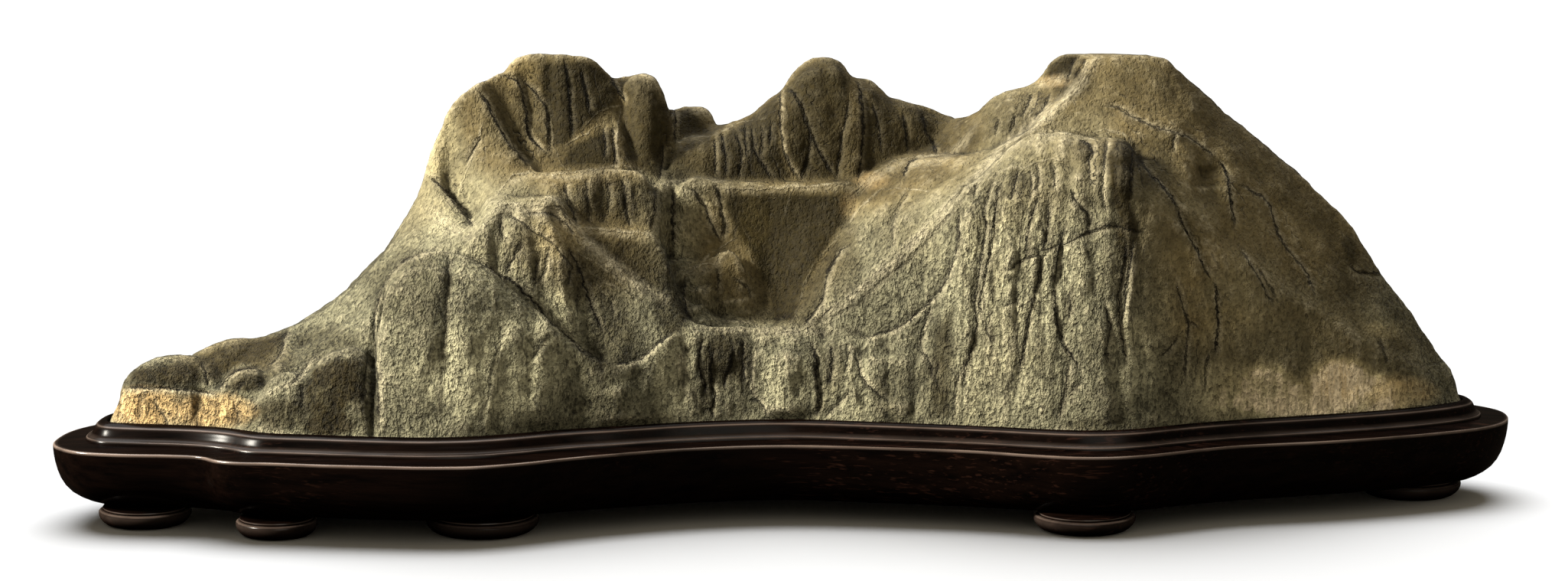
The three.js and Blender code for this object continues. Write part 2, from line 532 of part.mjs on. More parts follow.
function addCap(vertices, faces, start, count, upward) {
  const line = vertices.slice(start, start + count);
  const flat = line.map(([x, y]) => new THREE.Vector2(x, y));
  THREE.ShapeUtils.triangulateShape(flat, []).forEach(([a, b, c]) => {
    const order = turnsLeft(line[a], line[b], line[c]) === upward ? [a, b, c] : [a, c, b];
    faces.push(order.map((k) => start + k));
  });
}

// Round pads under the stand: centre and widest radius.
const feet = {
  front_left: [-196.6, -38, 14], front_shoulder: [-154.8, -54.5, 12.2], front_dome: [-93.4, -49.7, 17],
  front_right: [87.9, -46.2, 15.4], right_end: [193.4, 6.4, 16], back_right: [110, 46, 15],
  back_middle: [-10, 56, 15], back_left: [-120, 38, 15],
};
const footProfile = [[0.78, 0], [0.93, 1.9], [1, 3.8], [0.96, 4.7], [0.87, 5.1], [0.87, footHeight]];

function makeFoot([x, y, radius]) {
  const outline = [[0, 0], ...footProfile, [0, footHeight]]
    .map(([share, z]) => new THREE.Vector2(share * radius, z));
  const geometry = new THREE.LatheGeometry(outline, footSides);
  geometry.rotateX(Math.PI / 2);
  geometry.translate(x, y, 0);
  return geometry;
}

function addPiece(group, name, geometry, look) {
  const mesh = new THREE.Mesh(geometry, new THREE.MeshStandardMaterial(look));
  mesh.name = name;
  group.add(mesh);
}

const suiseki = new THREE.Group();
addPiece(suiseki, "stone", makeStone(), rock);
addPiece(suiseki, "stand", makeStand(), wood);
for (const [place, foot] of Object.entries(feet)) {
  addPiece(suiseki, `foot_${place}`, makeFoot(foot), wood);
}

export default suiseki;
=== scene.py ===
# A mountain-landscape viewing stone in its carved dark stand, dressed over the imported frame.
import bpy
import numpy as np
from itertools import product
from math import cos, pi, radians, sin
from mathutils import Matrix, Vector


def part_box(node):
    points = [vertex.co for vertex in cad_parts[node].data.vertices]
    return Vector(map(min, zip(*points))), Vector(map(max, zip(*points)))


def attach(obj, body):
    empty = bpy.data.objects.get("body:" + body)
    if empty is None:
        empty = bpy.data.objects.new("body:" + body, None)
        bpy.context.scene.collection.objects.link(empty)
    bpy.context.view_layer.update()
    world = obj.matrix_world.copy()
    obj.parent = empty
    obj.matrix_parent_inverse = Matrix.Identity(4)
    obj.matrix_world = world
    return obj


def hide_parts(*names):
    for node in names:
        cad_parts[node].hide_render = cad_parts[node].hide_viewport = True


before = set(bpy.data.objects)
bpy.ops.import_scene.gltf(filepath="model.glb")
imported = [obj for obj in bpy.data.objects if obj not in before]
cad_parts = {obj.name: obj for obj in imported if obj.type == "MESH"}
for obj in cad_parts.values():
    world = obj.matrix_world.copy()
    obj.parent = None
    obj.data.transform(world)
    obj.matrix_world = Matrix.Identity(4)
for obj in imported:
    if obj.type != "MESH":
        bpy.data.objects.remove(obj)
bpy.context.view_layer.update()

mm = 0.001
print("frame loaded")

# How the photograph looks at the object.
view = {
    "imageSize": (2050, 759),
    "target": (-0.0027, 0.0, 0.0653),
    "elevation": 9.0,
    "distance": 1.35,
    "lens": 100.0,
    "sensor": 36.0,
}


# Directions towards the camera and up its picture.
def photoAxes():
    tilt = radians(view["elevation"])
    return np.array([0, -cos(tilt), sin(tilt)]), np.array([0, sin(tilt), cos(tilt)])


def makeCamera():
    away, up = photoAxes()
    data = bpy.data.cameras.new("photoCamera")
    data.lens = view["lens"]
    data.sensor_width = view["sensor"]
    camera = bpy.data.objects.new("photoCamera", data)
    camera.location = Vector(view["target"]) + Vector(away) * view["distance"]
    camera.rotation_euler = (pi / 2 - radians(view["elevation"]), 0, 0)
    bpy.context.scene.collection.objects.link(camera)
    bpy.context.scene.camera = camera


# Pixel places and distances, in millimetres, of points seen by that camera.
def seenFromPhoto(points):
    away, up = photoAxes()
    eye = (np.array(view["target"]) + away * view["distance"]) / mm
    focus = view["lens"] / view["sensor"] * view["imageSize"][0]
    rel = points - eye
    depth = -(rel @ away)
    px = view["imageSize"][0] / 2 + focus * rel[:, 0] / depth
    py = view["imageSize"][1] / 2 - focus * (rel @ up) / depth
    return px, py, depth


makeCamera()

# Plan outlines of the stone's foot and of the stand's outer edge, in millimetres.
stoneLine = [
    [-208.1, -29.5], [-206.4, -36], [-199.6, -38], [-188.3, -40], [-177.1, -42], [-166.8, -47.2],
    [-157.1, -53.6], [-145.4, -55.6], [-134, -57.7], [-123.1, -59.6], [-108.5, -60.6], [-94.3, -58.6],
    [-79.6, -52.7], [-68.4, -47.6], [-54.6, -43.6], [-31.7, -35.9], [-2.7, -31.4], [27.7, -36.4],
    [57.5, -42.8], [77.3, -48], [89.3, -49.6], [102.3, -47.4], [117.3, -39.8], [133.5, -33], [157.3, -25],
    [181.6, -16.4], [197.3, -8.6], [207.8, 0.4], [208.1, 8], [200.3, 17], [181.3, 27.5], [153.3, 39],
    [119.3, 49.5], [81.3, 56.5], [41.3, 60], [-0.7, 60.6], [-42.7, 58], [-80.7, 52], [-114.7, 42.5],
    [-144.7, 29.5], [-172.7, 12], [-194.7, -6], [-205.7, -20],
]

standLine = [
    [-224.2, -29.5], [-223.7, -42], [-215.4, -52.6], [-201.1, -57.1], [-186.3, -58.3], [-176.9, -60.6],
    [-171.6, -66.2], [-164.4, -69.5], [-155.3, -70.2], [-140, -73], [-125, -74.8], [-109.8, -76.4],
    [-102.6, -76.4], [-93.2, -75.5], [-78.7, -69.7], [-67.7, -63.3], [-54.1, -56.7], [-31.4, -47.6],
    [-2.7, -42.8], [27.5, -46], [54.2, -51.2], [71.9, -57.7], [86.5, -61.2], [101.7, -59.5], [132.9, -44],
    [163.1, -36], [183.4, -28.9], [199.9, -21.6], [213.8, -13.5], [221.3, -4.5], [224.1, 5], [222.5, 17],
    [211, 30], [190, 42], [160, 54.5], [124, 65.4], [84, 72.6], [44, 76.2], [2, 76.4], [-42, 74], [-82, 68],
    [-118, 57.5], [-151, 43.5], [-181, 24.5], [-205, 4], [-220.3, -15],
]

# Crests, ledges, valleys and spurs that hold up the stone's skin, in millimetres.
ridges = {
    # front left dome with its long falling crest
    "domeCrest": [[-123, -47, 58], [-122.5, -46, 68], [-120, -45, 77], [-116, -45, 82], [-111, -45, 84.5],
        [-104, -44, 84.5], [-98.5, -43, 83], [-91, -42.5, 79], [-77.5, -42.5, 66], [-63.5, -42.5, 54.5],
        [-54.5, -41, 48.5]],
    "domeBack": [[-122, -39, 66], [-119, -38.5, 73], [-113, -38, 78.5], [-99.5, -38, 80.5], [-91.5, -39, 76],
        [-77.5, -39, 63], [-58, -38.5, 48]],
    # ribbed pyramid behind the dome
    "pyramidCrest": [[-97.5, -37, 84.5], [-92.5, -33, 93.5], [-89, -31, 96], [-74, -29, 95], [-69, -29, 92],
        [-57, -28, 79], [-43.5, -28, 68.5], [-33.5, -27, 63.5]],
    "pyramidLedge": [[-92, -28, 97], [-78, -26, 97.5], [-71, -25, 96], [-63, -25, 87], [-43.5, -25, 69.5]],
    # two shelves left of the basin
    "upperShelf": [[-93, -23, 96.5], [-86.5, -16, 102], [-73.5, -13, 104], [-57.5, -13, 106],
        [-47, -13, 104.5], [-43.5, -13, 101], [-40, -14, 88], [-38.5, -15, 80.5]],
    "upperShelfFoot": [[-85.5, -22, 97.5], [-70.5, -19, 96], [-57.5, -18, 89], [-43, -18, 87.5]],
    "lowerShelf": [[-67, -23, 89], [-46, -21, 86.5], [-41, -21, 84.5], [-36.5, -23, 72], [-35, -24, 65]],
    # low wall in front of the basin
    "frontWall": [[-54.5, -42, 48.5], [-48, -38, 50.5], [-38.5, -34, 57], [-34, -31, 59], [-18, -26, 58],
        [5.5, -24, 56], [24, -27, 55]],
    "basinFloor": [[-30.5, -24, 58], [-18, -20, 56], [-8.5, -18, 55]],
    "basinFloorBack": [[-34, -16, 63.5], [-25, -12, 60], [-6, -11, 58], [-1.5, -15, 58.5]],
    "lump": [[-33, -12, 73.5], [-28, -11, 76], [-22.5, -10, 80], [-18.5, -9, 82], [-16, -9, 79]],
    # cliff behind the basin with its flat top
    "basinCliff": [[-42, -6, 98.5], [-31, -4, 100.5], [-20, -3, 98.5], [5.5, -1, 98.5], [22, 0, 98.5]],
    "basinCliffFoot": [[-37, -9, 76], [-32, -8, 77], [-14.5, -7, 72], [-8.5, -7, 60.5], [-2, -11, 61]],
    "plateau": [[-40, -1, 99.5], [-31, 4, 101], [-20, 5, 99], [5.5, 7, 99], [20, 8, 99.5], [27, 12, 103.5],
        [39, 17, 106], [46, 19, 108]],
    # left peaks
    "leftSkyline": [[-155, -14, 55.5], [-147, -12, 58.5], [-137.5, -11, 65.5], [-130, -10, 72.5],
        [-124, -9, 81], [-117.5, -8, 91.5], [-113, -7, 101], [-110.5, -6, 110], [-106.5, -5, 122],
        [-102, -4, 127.5], [-97.5, -3, 129.5]],
    "lowerButtress": [[-112, -8, 100.5], [-105, -14, 96], [-100.5, -20, 91.5], [-97.5, -27, 88]],
    "lowerButtressBack": [[-106, -8, 95.5], [-101, -13, 91], [-97.5, -19, 87.5]],
    "upperButtress": [[-97.5, -3, 129.5], [-93, -4, 124.5], [-89.5, -5, 116.5], [-83.5, -8, 108.5],
        [-78, -11, 104]],
    "secondLobe": [[-97.5, -3, 129.5], [-95.5, -0.5, 130.6], [-93.5, 2, 131.4], [-90, 3, 132.7],
        [-85, 3, 131.5]],
    "buttressValley": [[-90.5, -2, 118], [-86.5, -3, 111.5], [-81, -6, 105]],
    "lobeCrack": [[-83.5, 4, 130], [-81.5, 2, 122.5], [-79.5, -1, 115], [-70, -7, 105]],
    "leftSummit": [[-88.5, 5, 133], [-86, 6, 136.5], [-81, 7, 138], [-63, 9, 137], [-59, 10, 134.5],
        [-56, 11, 130.5]],
    "leftSummitBack": [[-84.5, 13, 135], [-71, 17, 135.5], [-63.5, 18, 134]],
    "leftKnob": [[-56, 15, 130], [-47.5, 18, 131], [-43, 18, 127.5], [-37.5, 20, 120.5]],
    "farKnob": [[-38, 27, 119], [-33, 29, 119.5], [-29, 29, 117], [-25, 29, 111]],
    "middleRib": [[-68.5, -3, 111], [-63, 0, 115.5], [-57, 4, 118], [-52, 7, 119.5]],
    "leftPeakFoot": [[-78, -9, 101.5], [-65, -8.5, 102.5], [-52, -7, 103], [-42, -4, 98]],
    # centre peak and the ridge to its right
    "centreCrest": [[-41.5, 13, 108.5], [-32.5, 16, 110.5], [-26.5, 18, 112.5], [-16.5, 20, 116],
        [-10, 21, 120], [-2.5, 22, 127], [2, 23, 133], [6.5, 24, 136], [14.5, 24, 135.5], [18.5, 25, 129.5],
        [24.5, 26, 128.5], [30, 27, 123], [40.5, 28, 120.5], [52, 28, 116]],
    # right mountain
    "rightSkyline": [[51.5, 24, 116.5], [57.5, 17, 118.5], [62.5, 14, 124], [67, 12, 126.5], [75, 10, 128],
        [79, 5, 135.5], [83.5, 3, 138.5], [89.5, 1, 139], [105, -1, 139], [115, 0, 138], [120.5, 1, 132],
        [130, 2, 123], [145.5, 3, 110], [161.5, 4, 97.5], [171, 4, 88.5], [179, 4, 77.5], [183.5, 4, 69.5],
        [193, 3, 58.5], [199.5, 3, 48.5], [206, 2, 40]],
    "rightSummitBack": [[84.5, 14, 135.5], [110.5, 16, 135.5], [120, 16, 130], [149, 17, 105.5],
        [166, 16, 91]],
    "arete": [[94, -2, 138], [91, -5, 134.5], [81.5, -11, 125], [73, -14, 117.5], [59, -18, 105.5],
        [46, -21, 93], [39, -22, 87], [19.5, -24, 69.5], [5.5, -24, 59.5], [-0.5, -24, 57]],
    "tanLedge": [[22, 1, 98.5], [26, 4, 102], [30.5, 6, 104.5], [49.5, 9, 107]],
    "slopeFoot": [[22, 0, 98], [16, -5, 87], [5, -13, 69], [0, -18, 60.5]],
    "subPeakFoot": [[46.5, 12, 106.5], [55.5, 4, 106.5], [64.5, -4, 111], [72.5, -8, 117]],
    "notch": [[74.5, 6, 127], [79, -4, 124], [83.5, -5, 127]],
    # fluted cliff in front of the right mountain, and the slope to the right end
    "shoulder": [[57.5, -21, 103.5], [63.5, -22, 110], [71.5, -22, 117], [80.5, -23, 118], [91, -24, 116],
        [100.5, -25, 116], [103.5, -26, 111.5], [107, -27, 105]],
    "cliffTop": [[49, -26, 95.5], [52, -27, 101], [67.5, -29, 108], [84, -30, 112], [93, -30, 114.5],
        [100.5, -31, 114], [103, -32, 108.5]],
    "lowerSlope": [[104, -32, 107.5], [111, -31, 101], [119, -29, 95], [129, -26, 88], [141, -22, 79],
        [160, -17, 65], [180, -11, 52], [196, -6, 42]],
    "shoulderBack": [[66, -18, 113], [72, -17.5, 114.8], [81, -17, 115.5], [91, -17.5, 114],
        [100, -18.5, 113.5], [106, -21, 107.5]],
    "shoulderCrack": [[106, -28, 107], [114, -29, 98], [117.5, -30, 88], [123, -32, 76], [127, -34, 60]],
    "wallCrease": [[17, -28, 55], [28.5, -29, 56.5], [38, -30, 60], [46, -30, 66.5]],
    # foothills at the left end
    "bandEdge": [[-203.5, -31.5, 39], [-201.5, -34.5, 41], [-193, -36.5, 42], [-180, -38.5, 41.5],
        [-171, -41, 40.5], [-166.5, -43.5, 39]],
    "bandLedge": [[-199, -31, 42], [-192, -34, 42.5], [-176, -37, 41.5], [-168, -40, 40.5]],
    "backLump": [[-184, -24, 47.5], [-175, -20, 52], [-162, -16, 54], [-155, -14, 55.5]],
    "hollow": [[-184, -31, 42.5], [-174, -33, 42.5], [-160, -41, 42], [-150, -43, 46], [-140, -43, 49],
        [-127, -45, 50]],
    "slopeLeft": [[-150, -28, 52], [-140, -30, 57], [-130, -32, 64], [-122, -34, 72]],
    # spurs down the far side
    "spurA": [[-162, -16, 54], [-164, -2, 46], [-166, 8, 36]],
    "spurB": [[-117.5, -8, 91.5], [-122, 8, 78], [-127, 22, 58], [-130, 31, 38]],
    "spurC": [[-84.5, 13, 135], [-92, 24, 108], [-97, 35, 78], [-100, 43, 44]],
    "spurD": [[-63.5, 18, 134], [-62, 32, 100], [-60, 45, 70], [-61, 52, 42]],
    "spurE": [[-33, 29, 119.5], [-29, 40, 92], [-24, 51, 60], [-22, 56, 40]],
    "spurF": [[8, 24, 136], [8, 36, 104], [12, 47, 78], [14, 56, 46]],
    "spurG": [[40.5, 28, 120.5], [45, 38, 94], [50, 50, 60], [52, 56, 38]],
    "spurH": [[84.5, 14, 135.5], [84, 28, 106], [88, 40, 78], [90, 51, 44]],
    "spurI": [[120, 16, 130], [124, 28, 100], [126, 38, 68], [127, 45, 40]],
    "spurJ": [[166, 16, 91], [168, 24, 62], [169, 30, 40]],
}

# Faces that swell out between a lower line and an upper one.
swollenFaces = [
    ["foot", "domeCrest"], ["foot", "frontWall"], ["foot", "cliffTop"], ["foot", "lowerSlope"],
    ["domeBack", "pyramidCrest"], ["plateau", "centreCrest"], ["subPeakFoot", "rightSkyline"],
]

# Shares of the way across and up such a face at which extra lines hold it.
swellShape = [[0.12, 0.42], [0.3, 0.7], [0.58, 0.91]]

# Rounded caps: centre, top, radii along x, y and z, fullness.
boulders = [
    [-187, -28, 50, 18, 13, 13, 2], [-168.5, -19, 53.6, 20, 13, 15, 2], [-165, -39, 47.8, 8.5, 7, 8, 2],
    [-154, -38, 49, 6.5, 6, 7, 2], [-134, -46.5, 55.5, 15, 11, 22, 2], [-150, -47, 48.5, 12, 8, 16, 2],
    [-161, -44.5, 42.5, 7, 5, 10, 2], [-46.5, 12, 131, 10.5, 10, 28, 2.8], [-31.5, 26, 119.5, 8, 8, 14, 3],
]

# Half width, depth, then the way over the plan.
grooves = [
    # cliff flutes
    [3.5, 1.3, [50, -30], [47, -38]], [4, 1.5, [58, -32], [54, -42]], [3, 1.1, [63, -33], [61, -43]],
    [4, 1.5, [70, -33], [67, -45]], [3.5, 1.2, [76, -34], [76, -44]], [4, 1.6, [83, -34], [80, -47]],
    [3, 1.1, [89, -35], [90, -48]], [4, 1.5, [96, -35], [98, -49]], [3, 1.1, [102, -37], [104, -47]],
    [3.5, 1.2, [39, -27], [36, -37]], [4.5, 1.6, [28, -28], [30, -36]],
    # clefts of the dome and of the low wall
    [4, 1, [-102, -47], [-102.5, -52], [-104, -60]], [4.5, 0.6, [-91.5, -47], [-93, -58]],
    [4, 1.3, [-78, -46], [-80, -54]], [4, 1.3, [-66, -45], [-68, -48]], [4.5, 1.7, [-46, -38], [-50, -43]],
    [4, 1.7, [-33, -32], [-32, -38]], [4, 1.4, [-13, -28], [-14, -34]], [4, 1.6, [9, -27], [8, -33]],
    [4, 1.4, [21, -29], [22, -36]],
    # ribs of the pyramid
    [4, 2.2, [-80, -30], [-77, -36], [-69, -42]], [3.5, 1.8, [-73, -29], [-58, -39]],
    [4, 2, [-85, -31], [-90, -38]],
    # cracks of the peaks
    [4, 2.6, [-39, -14], [-37, -5], [-33, 1]], [3.5, 0.8, [-75.5, 7], [-73, -5]],
    [3.5, 2.2, [-52.5, 8], [-49, 0]], [4, 2.6, [-38, 22], [-40, 4]], [4, 0.9, [-4, 20], [5, 9]],
    [4, 0.8, [7, 20], [15, 9]], [4, 0.9, [20, 23], [24, 11]], [4, 0.8, [30, 25], [34, 17]],
    [4, 0.9, [-14, 18], [-12, 8]], [4, 0.8, [-27, 16], [-25, 7]],
    # gullies of the right slope
    [7, 0.8, [122, -12], [134, -26]], [6, 0.8, [140, -2], [152, -16], [158, -26]],
    [5, 0.8, [168, -4], [178, -18]], [4, 1.2, [60, -10], [40, -12], [24, -14]],
    # foothills
    [4, 4, [-125, -57], [-125.5, -46], [-124, -38]], [4, 1.6, [-178, -46], [-180, -36]],
    [4, 1.6, [-190, -44], [-191, -34]],
    # far side
    [8, 4, [-74, 22], [-79, 34], [-77, 50]], [6, 3.4, [-48, 30], [-44, 42], [-47, 56]],
    [9, 4.4, [-12, 30], [-9, 42], [-2, 58]], [6, 3, [24, 36], [31, 46], [29, 59]],
    [9, 4, [63, 24], [66, 38], [74, 57]], [7, 3.6, [101, 22], [108, 36], [106, 52]],
    [7, 3, [138, 20], [148, 30], [150, 40]], [7, 3, [-106, 4], [-112, 20], [-111, 40]],
    [6, 2.6, [-140, -4], [-146, 12], [-151, 24]],
]

# Lines read off the photograph, in its pixels: half width, then depth in millimetres, then the way.
cracks = {
    # foothills at the left end
    "bandCrease": [6, 1.6, [160, 508], [172, 506], [200, 507], [221, 507], [240, 509], [262, 512],
        [286, 514]],
    "hollowCrease": [5, 1.4, [284, 513], [289, 504], [298, 492], [309, 485], [320, 481], [340, 480]],
    "lumpCrease": [8, 1.6, [262, 473], [268, 486], [272, 506]],
    "slopeCrease": [6, 1.6, [377, 430], [371, 443], [368, 460], [360, 471], [350, 477]],
    "bandEnd": [4, 0.7, [155, 510], [157, 526], [155, 547]],
    "bandDent": [5, 0.5, [186, 511], [184, 528], [180, 548]],
    "bandFork": [5, 0.9, [198, 521], [206, 534], [217, 547], [219, 558]],
    "bandShade": [6, 0.6, [259, 520], [257, 534], [250, 556]],
    "bandRight": [5, 0.8, [306, 530], [311, 545], [309, 560]],
    "apronTop": [5, 1.3, [405, 472], [398, 481], [391, 492], [380, 503]],
    "apronCrease": [5, 1.2, [395, 501], [396, 518], [394, 535]],
    "boulderSide": [6, 1.2, [481, 462], [477, 490], [475, 526]],
    # dome
    "domeEdge": [5, 1.3, [560, 327], [530, 338], [511, 356], [500, 378], [494, 395], [489, 416], [490, 440],
        [490, 468], [493, 487], [494, 510], [496, 566]],
    "domeCleft": [5, 1, [581, 331], [587, 339], [585, 352], [585, 377], [583, 400], [583, 429], [580, 448],
        [575, 470]],
    "lobeCleft": [3, 0.4, [652, 421], [658, 436], [652, 449], [647, 466], [641, 490], [640, 515], [631, 535],
        [627, 568]],
    "domeRear": [6, 1.6, [600, 329], [613, 336], [624, 341], [638, 348], [649, 359], [660, 363], [674, 370],
        [687, 385], [699, 396], [710, 409], [720, 421], [734, 432], [748, 446], [759, 456], [777, 466],
        [797, 475]],
    "curl": [5, 1, [716, 439], [705, 454], [694, 471]],
    "nickLeft": [4, 0.7, [742, 470], [738, 484]],
    "nickRight": [4, 0.7, [787, 477], [788, 488]],
    # ribbed pyramid
    "gullyA": [6, 1.6, [662, 360], [665, 349], [672, 332], [686, 318]],
    "gullyB": [5, 1.2, [702, 338], [699, 375]],
    "gullyC": [5, 1.2, [716, 324], [713, 354], [702, 370]],
    "gullyD": [5, 1.5, [740, 320], [758, 352], [763, 366], [767, 382], [774, 404], [783, 421], [788, 436]],
    "gullyE": [4, 0.8, [724, 318], [734, 332], [747, 349], [741, 377]],
    "gullyF": [4, 0.8, [798, 390], [802, 417]],
    "headA": [5, 1.1, [655, 280], [655, 300], [658, 318]],
    "headB": [4, 0.9, [665, 280], [680, 290], [697, 302], [712, 310], [728, 322]],
    "headC": [4, 0.9, [690, 280], [710, 278], [725, 282], [740, 292], [752, 308]],
    "pyramidFoot": [6, 1.8, [799, 475], [820, 475], [838, 469], [854, 455], [863, 446], [874, 439],
        [885, 431]],
    # shelves
    "shelfCorner": [5, 1.2, [866, 318], [872, 335], [876, 360]],
    "shelfA": [5, 1.2, [738, 240], [742, 262], [748, 275], [754, 294]],
    "shelfB": [4, 0.8, [766, 234], [768, 260], [770, 292]],
    "shelfD": [4, 0.9, [794, 235], [796, 262], [794, 280]],
    "shelfE": [5, 1.2, [812, 230], [817, 250], [818, 272], [824, 296]],
    # left peaks
    "buttressEdge": [5, 1.4, [626, 119], [636, 134], [643, 148], [650, 161], [655, 173], [663, 186],
        [675, 198], [685, 210], [692, 219]],
    "buttressCrack": [4, 0.8, [628, 178], [622, 190], [614, 205], [610, 212]],
    "lowButtressEdge": [6, 1.8, [562, 233], [572, 240], [580, 247], [590, 260], [600, 273], [612, 286],
        [620, 299]],
    "peakCrackA": [5, 1.4, [654, 97], [665, 101], [675, 104], [679, 112], [683, 122], [685, 135], [688, 150],
        [689, 165], [692, 178], [700, 187], [708, 195], [718, 203]],
    "peakCrackB": [4, 1, [678, 101], [690, 112], [700, 120], [704, 128], [712, 136], [716, 150], [717, 175],
        [719, 200]],
    "summitA": [5, 1.2, [738, 80], [741, 100], [744, 120], [745, 140], [746, 160], [747, 182]],
    "summitB": [5, 1.3, [760, 92], [763, 110], [768, 130], [771, 145]],
    "summitEdge": [6, 1.8, [800, 100], [803, 110], [808, 118], [814, 126], [818, 134]],
    "knobCrack": [6, 1.8, [881, 140], [883, 160], [882, 186]],
    "ribCrackA": [5, 1.4, [788, 165], [790, 180], [792, 192], [790, 205]],
    "ribCrackB": [4, 1.2, [801, 165], [801, 180], [804, 200], [804, 216]],
    "knobFoot": [5, 1.2, [867, 188], [866, 208], [862, 234]],
    # centre peak and the ridge beside it
    "centreA": [4, 1.1, [1020, 114], [1020, 139], [1020, 167], [1024, 197], [1030, 211], [1038, 225],
        [1046, 236]],
    "centreB": [4, 1.1, [1027, 113], [1038, 121], [1046, 136], [1054, 156], [1059, 172], [1066, 189],
        [1077, 208], [1091, 231]],
    "centreC": [4, 0.9, [1061, 175], [1059, 194], [1054, 211], [1049, 228], [1047, 237]],
    "centreD": [4, 1, [1109, 130], [1107, 150], [1100, 175], [1098, 197], [1095, 217], [1093, 236]],
    "centreE": [6, 1.5, [1120, 103], [1124, 119], [1128, 144], [1128, 169], [1127, 197], [1122, 236]],
    "fluteA": [5, 1.3, [934, 180], [935, 205], [935, 230]],
    "fluteB": [4, 1.1, [943, 172], [945, 189], [949, 205], [949, 230]],
    "fluteC": [4, 1.1, [961, 173], [967, 189], [970, 200], [967, 217], [965, 235]],
    "fluteD": [4, 0.9, [974, 163], [974, 183], [977, 205]],
    "fluteE": [4, 1, [982, 165], [985, 194], [990, 205], [999, 217], [1010, 235]],
    "fluteF": [4, 0.9, [995, 165], [996, 192], [993, 208]],
    "fluteG": [4, 0.9, [1008, 156], [1006, 189]],
    "ridgeA": [6, 1.2, [1180, 148], [1184, 175], [1186, 200]],
    "ridgeB": [6, 1.2, [1205, 148], [1211, 175], [1221, 189], [1225, 202]],
    "ridgeC": [5, 0.8, [1140, 135], [1148, 160], [1152, 200]],
    # basin and its cliff
    "basinCorner": [7, 1.6, [856, 244], [856, 274], [851, 300]],
    "basinA": [5, 1.5, [879, 242], [880, 260], [879, 282], [880, 301], [880, 322]],
    "basinB": [4, 1, [898, 242], [909, 252], [916, 263], [922, 271], [926, 285], [932, 298], [943, 316]],
    "basinC": [4, 1, [933, 240], [939, 250], [940, 263], [944, 280], [948, 296], [943, 314]],
    "lumpA": [6, 1.8, [895, 366], [893, 380], [895, 396], [899, 409], [904, 421]],
    "lumpB": [4, 0.9, [938, 350], [939, 366], [938, 384]],
    "lumpC": [4, 0.7, [959, 365], [970, 369], [978, 377], [982, 390]],
    "stripCrack": [5, 1.4, [1048, 428], [1062, 412], [1075, 393], [1078, 377], [1081, 360], [1086, 350],
        [1091, 339], [1100, 325], [1113, 320]],
    "tanHollow": [7, 1.4, [1181, 230], [1185, 219], [1191, 210], [1203, 206]],
    "slopeScar": [4, 0.5, [1189, 250], [1180, 261], [1171, 277], [1166, 296], [1167, 312], [1166, 325]],
    # long crest of the right mountain
    "crestCrack": [4, 0.15, [1053, 430], [1070, 422], [1089, 414], [1105, 405], [1121, 397], [1129, 387],
        [1140, 380], [1151, 367], [1162, 360], [1175, 348], [1189, 337], [1202, 326], [1216, 310],
        [1229, 294], [1240, 283], [1252, 268], [1264, 256]],
    # low wall
    "wallCrease": [6, 1.6, [1121, 437], [1135, 440], [1148, 437], [1164, 432], [1181, 424], [1194, 413],
        [1202, 407], [1214, 396], [1227, 382], [1237, 366], [1245, 346], [1253, 318], [1253, 285],
        [1257, 265]],
    "wallA": [6, 1.6, [919, 440], [914, 458], [914, 480], [921, 501], [925, 520]],
    "wallB": [5, 1.4, [933, 452], [929, 480], [929, 501], [935, 517], [929, 536], [935, 548]],
    "wallC": [5, 1.3, [959, 448], [956, 477], [948, 493], [944, 507]],
    "wallD": [5, 1.4, [971, 441], [972, 463], [972, 490], [975, 503]],
    "wallE": [4, 1.2, [986, 450], [983, 469], [982, 490], [981, 509], [986, 520], [994, 525], [1004, 546]],
    "wallF": [6, 1.8, [1058, 446], [1068, 468], [1066, 485], [1068, 501], [1072, 517], [1070, 531],
        [1064, 546]],
    "wallG": [6, 1.5, [1086, 450], [1088, 480], [1084, 505]],
    "wallH": [5, 1.4, [1107, 448], [1108, 470], [1105, 490]],
    "wallI": [5, 1.4, [1117, 460], [1122, 474], [1124, 488], [1132, 501], [1143, 511], [1162, 525]],
    "wallJ": [5, 1.2, [1078, 545], [1099, 523], [1110, 510]],
    "wallK": [5, 1.3, [1202, 455], [1210, 466], [1218, 477], [1218, 498]],
    "wallL": [5, 1.4, [1217, 400], [1208, 425], [1204, 444], [1201, 455]],
    "wallM": [5, 1.2, [1227, 471], [1224, 490], [1227, 512]],
    # fluted cliff
    "cliffA": [4, 1.1, [1277, 240], [1272, 257]],
    "cliffB": [6, 1.6, [1301, 228], [1293, 249], [1286, 271], [1289, 299], [1284, 327], [1281, 349],
        [1278, 366], [1274, 396], [1277, 427], [1272, 449], [1262, 480], [1258, 520]],
    "cliffC": [5, 1.6, [1307, 232], [1302, 265], [1299, 299], [1295, 327], [1289, 352], [1284, 379],
        [1281, 404], [1277, 427]],
    "cliffD": [4, 1, [1299, 402], [1291, 418], [1289, 427], [1293, 440], [1299, 449]],
    "cliffE": [9, 1.6, [1331, 222], [1326, 243], [1321, 263]],
    "cliffF": [5, 1.5, [1359, 254], [1349, 279], [1343, 304], [1342, 327], [1343, 343]],
    "cliffG": [5, 1.6, [1371, 249], [1370, 285], [1367, 313], [1361, 343], [1357, 366], [1352, 388],
        [1346, 410], [1342, 432], [1339, 454], [1333, 480], [1330, 500]],
    "cliffH": [5, 1.4, [1393, 282], [1390, 310], [1385, 329], [1381, 354], [1377, 371], [1379, 396],
        [1381, 415], [1385, 435], [1393, 454], [1402, 468], [1410, 482], [1417, 499]],
    "cliffI": [4, 1, [1399, 379], [1399, 404], [1396, 418]],
    "cliffJ": [5, 1.3, [1399, 474], [1395, 488], [1392, 510], [1388, 529], [1384, 549]],
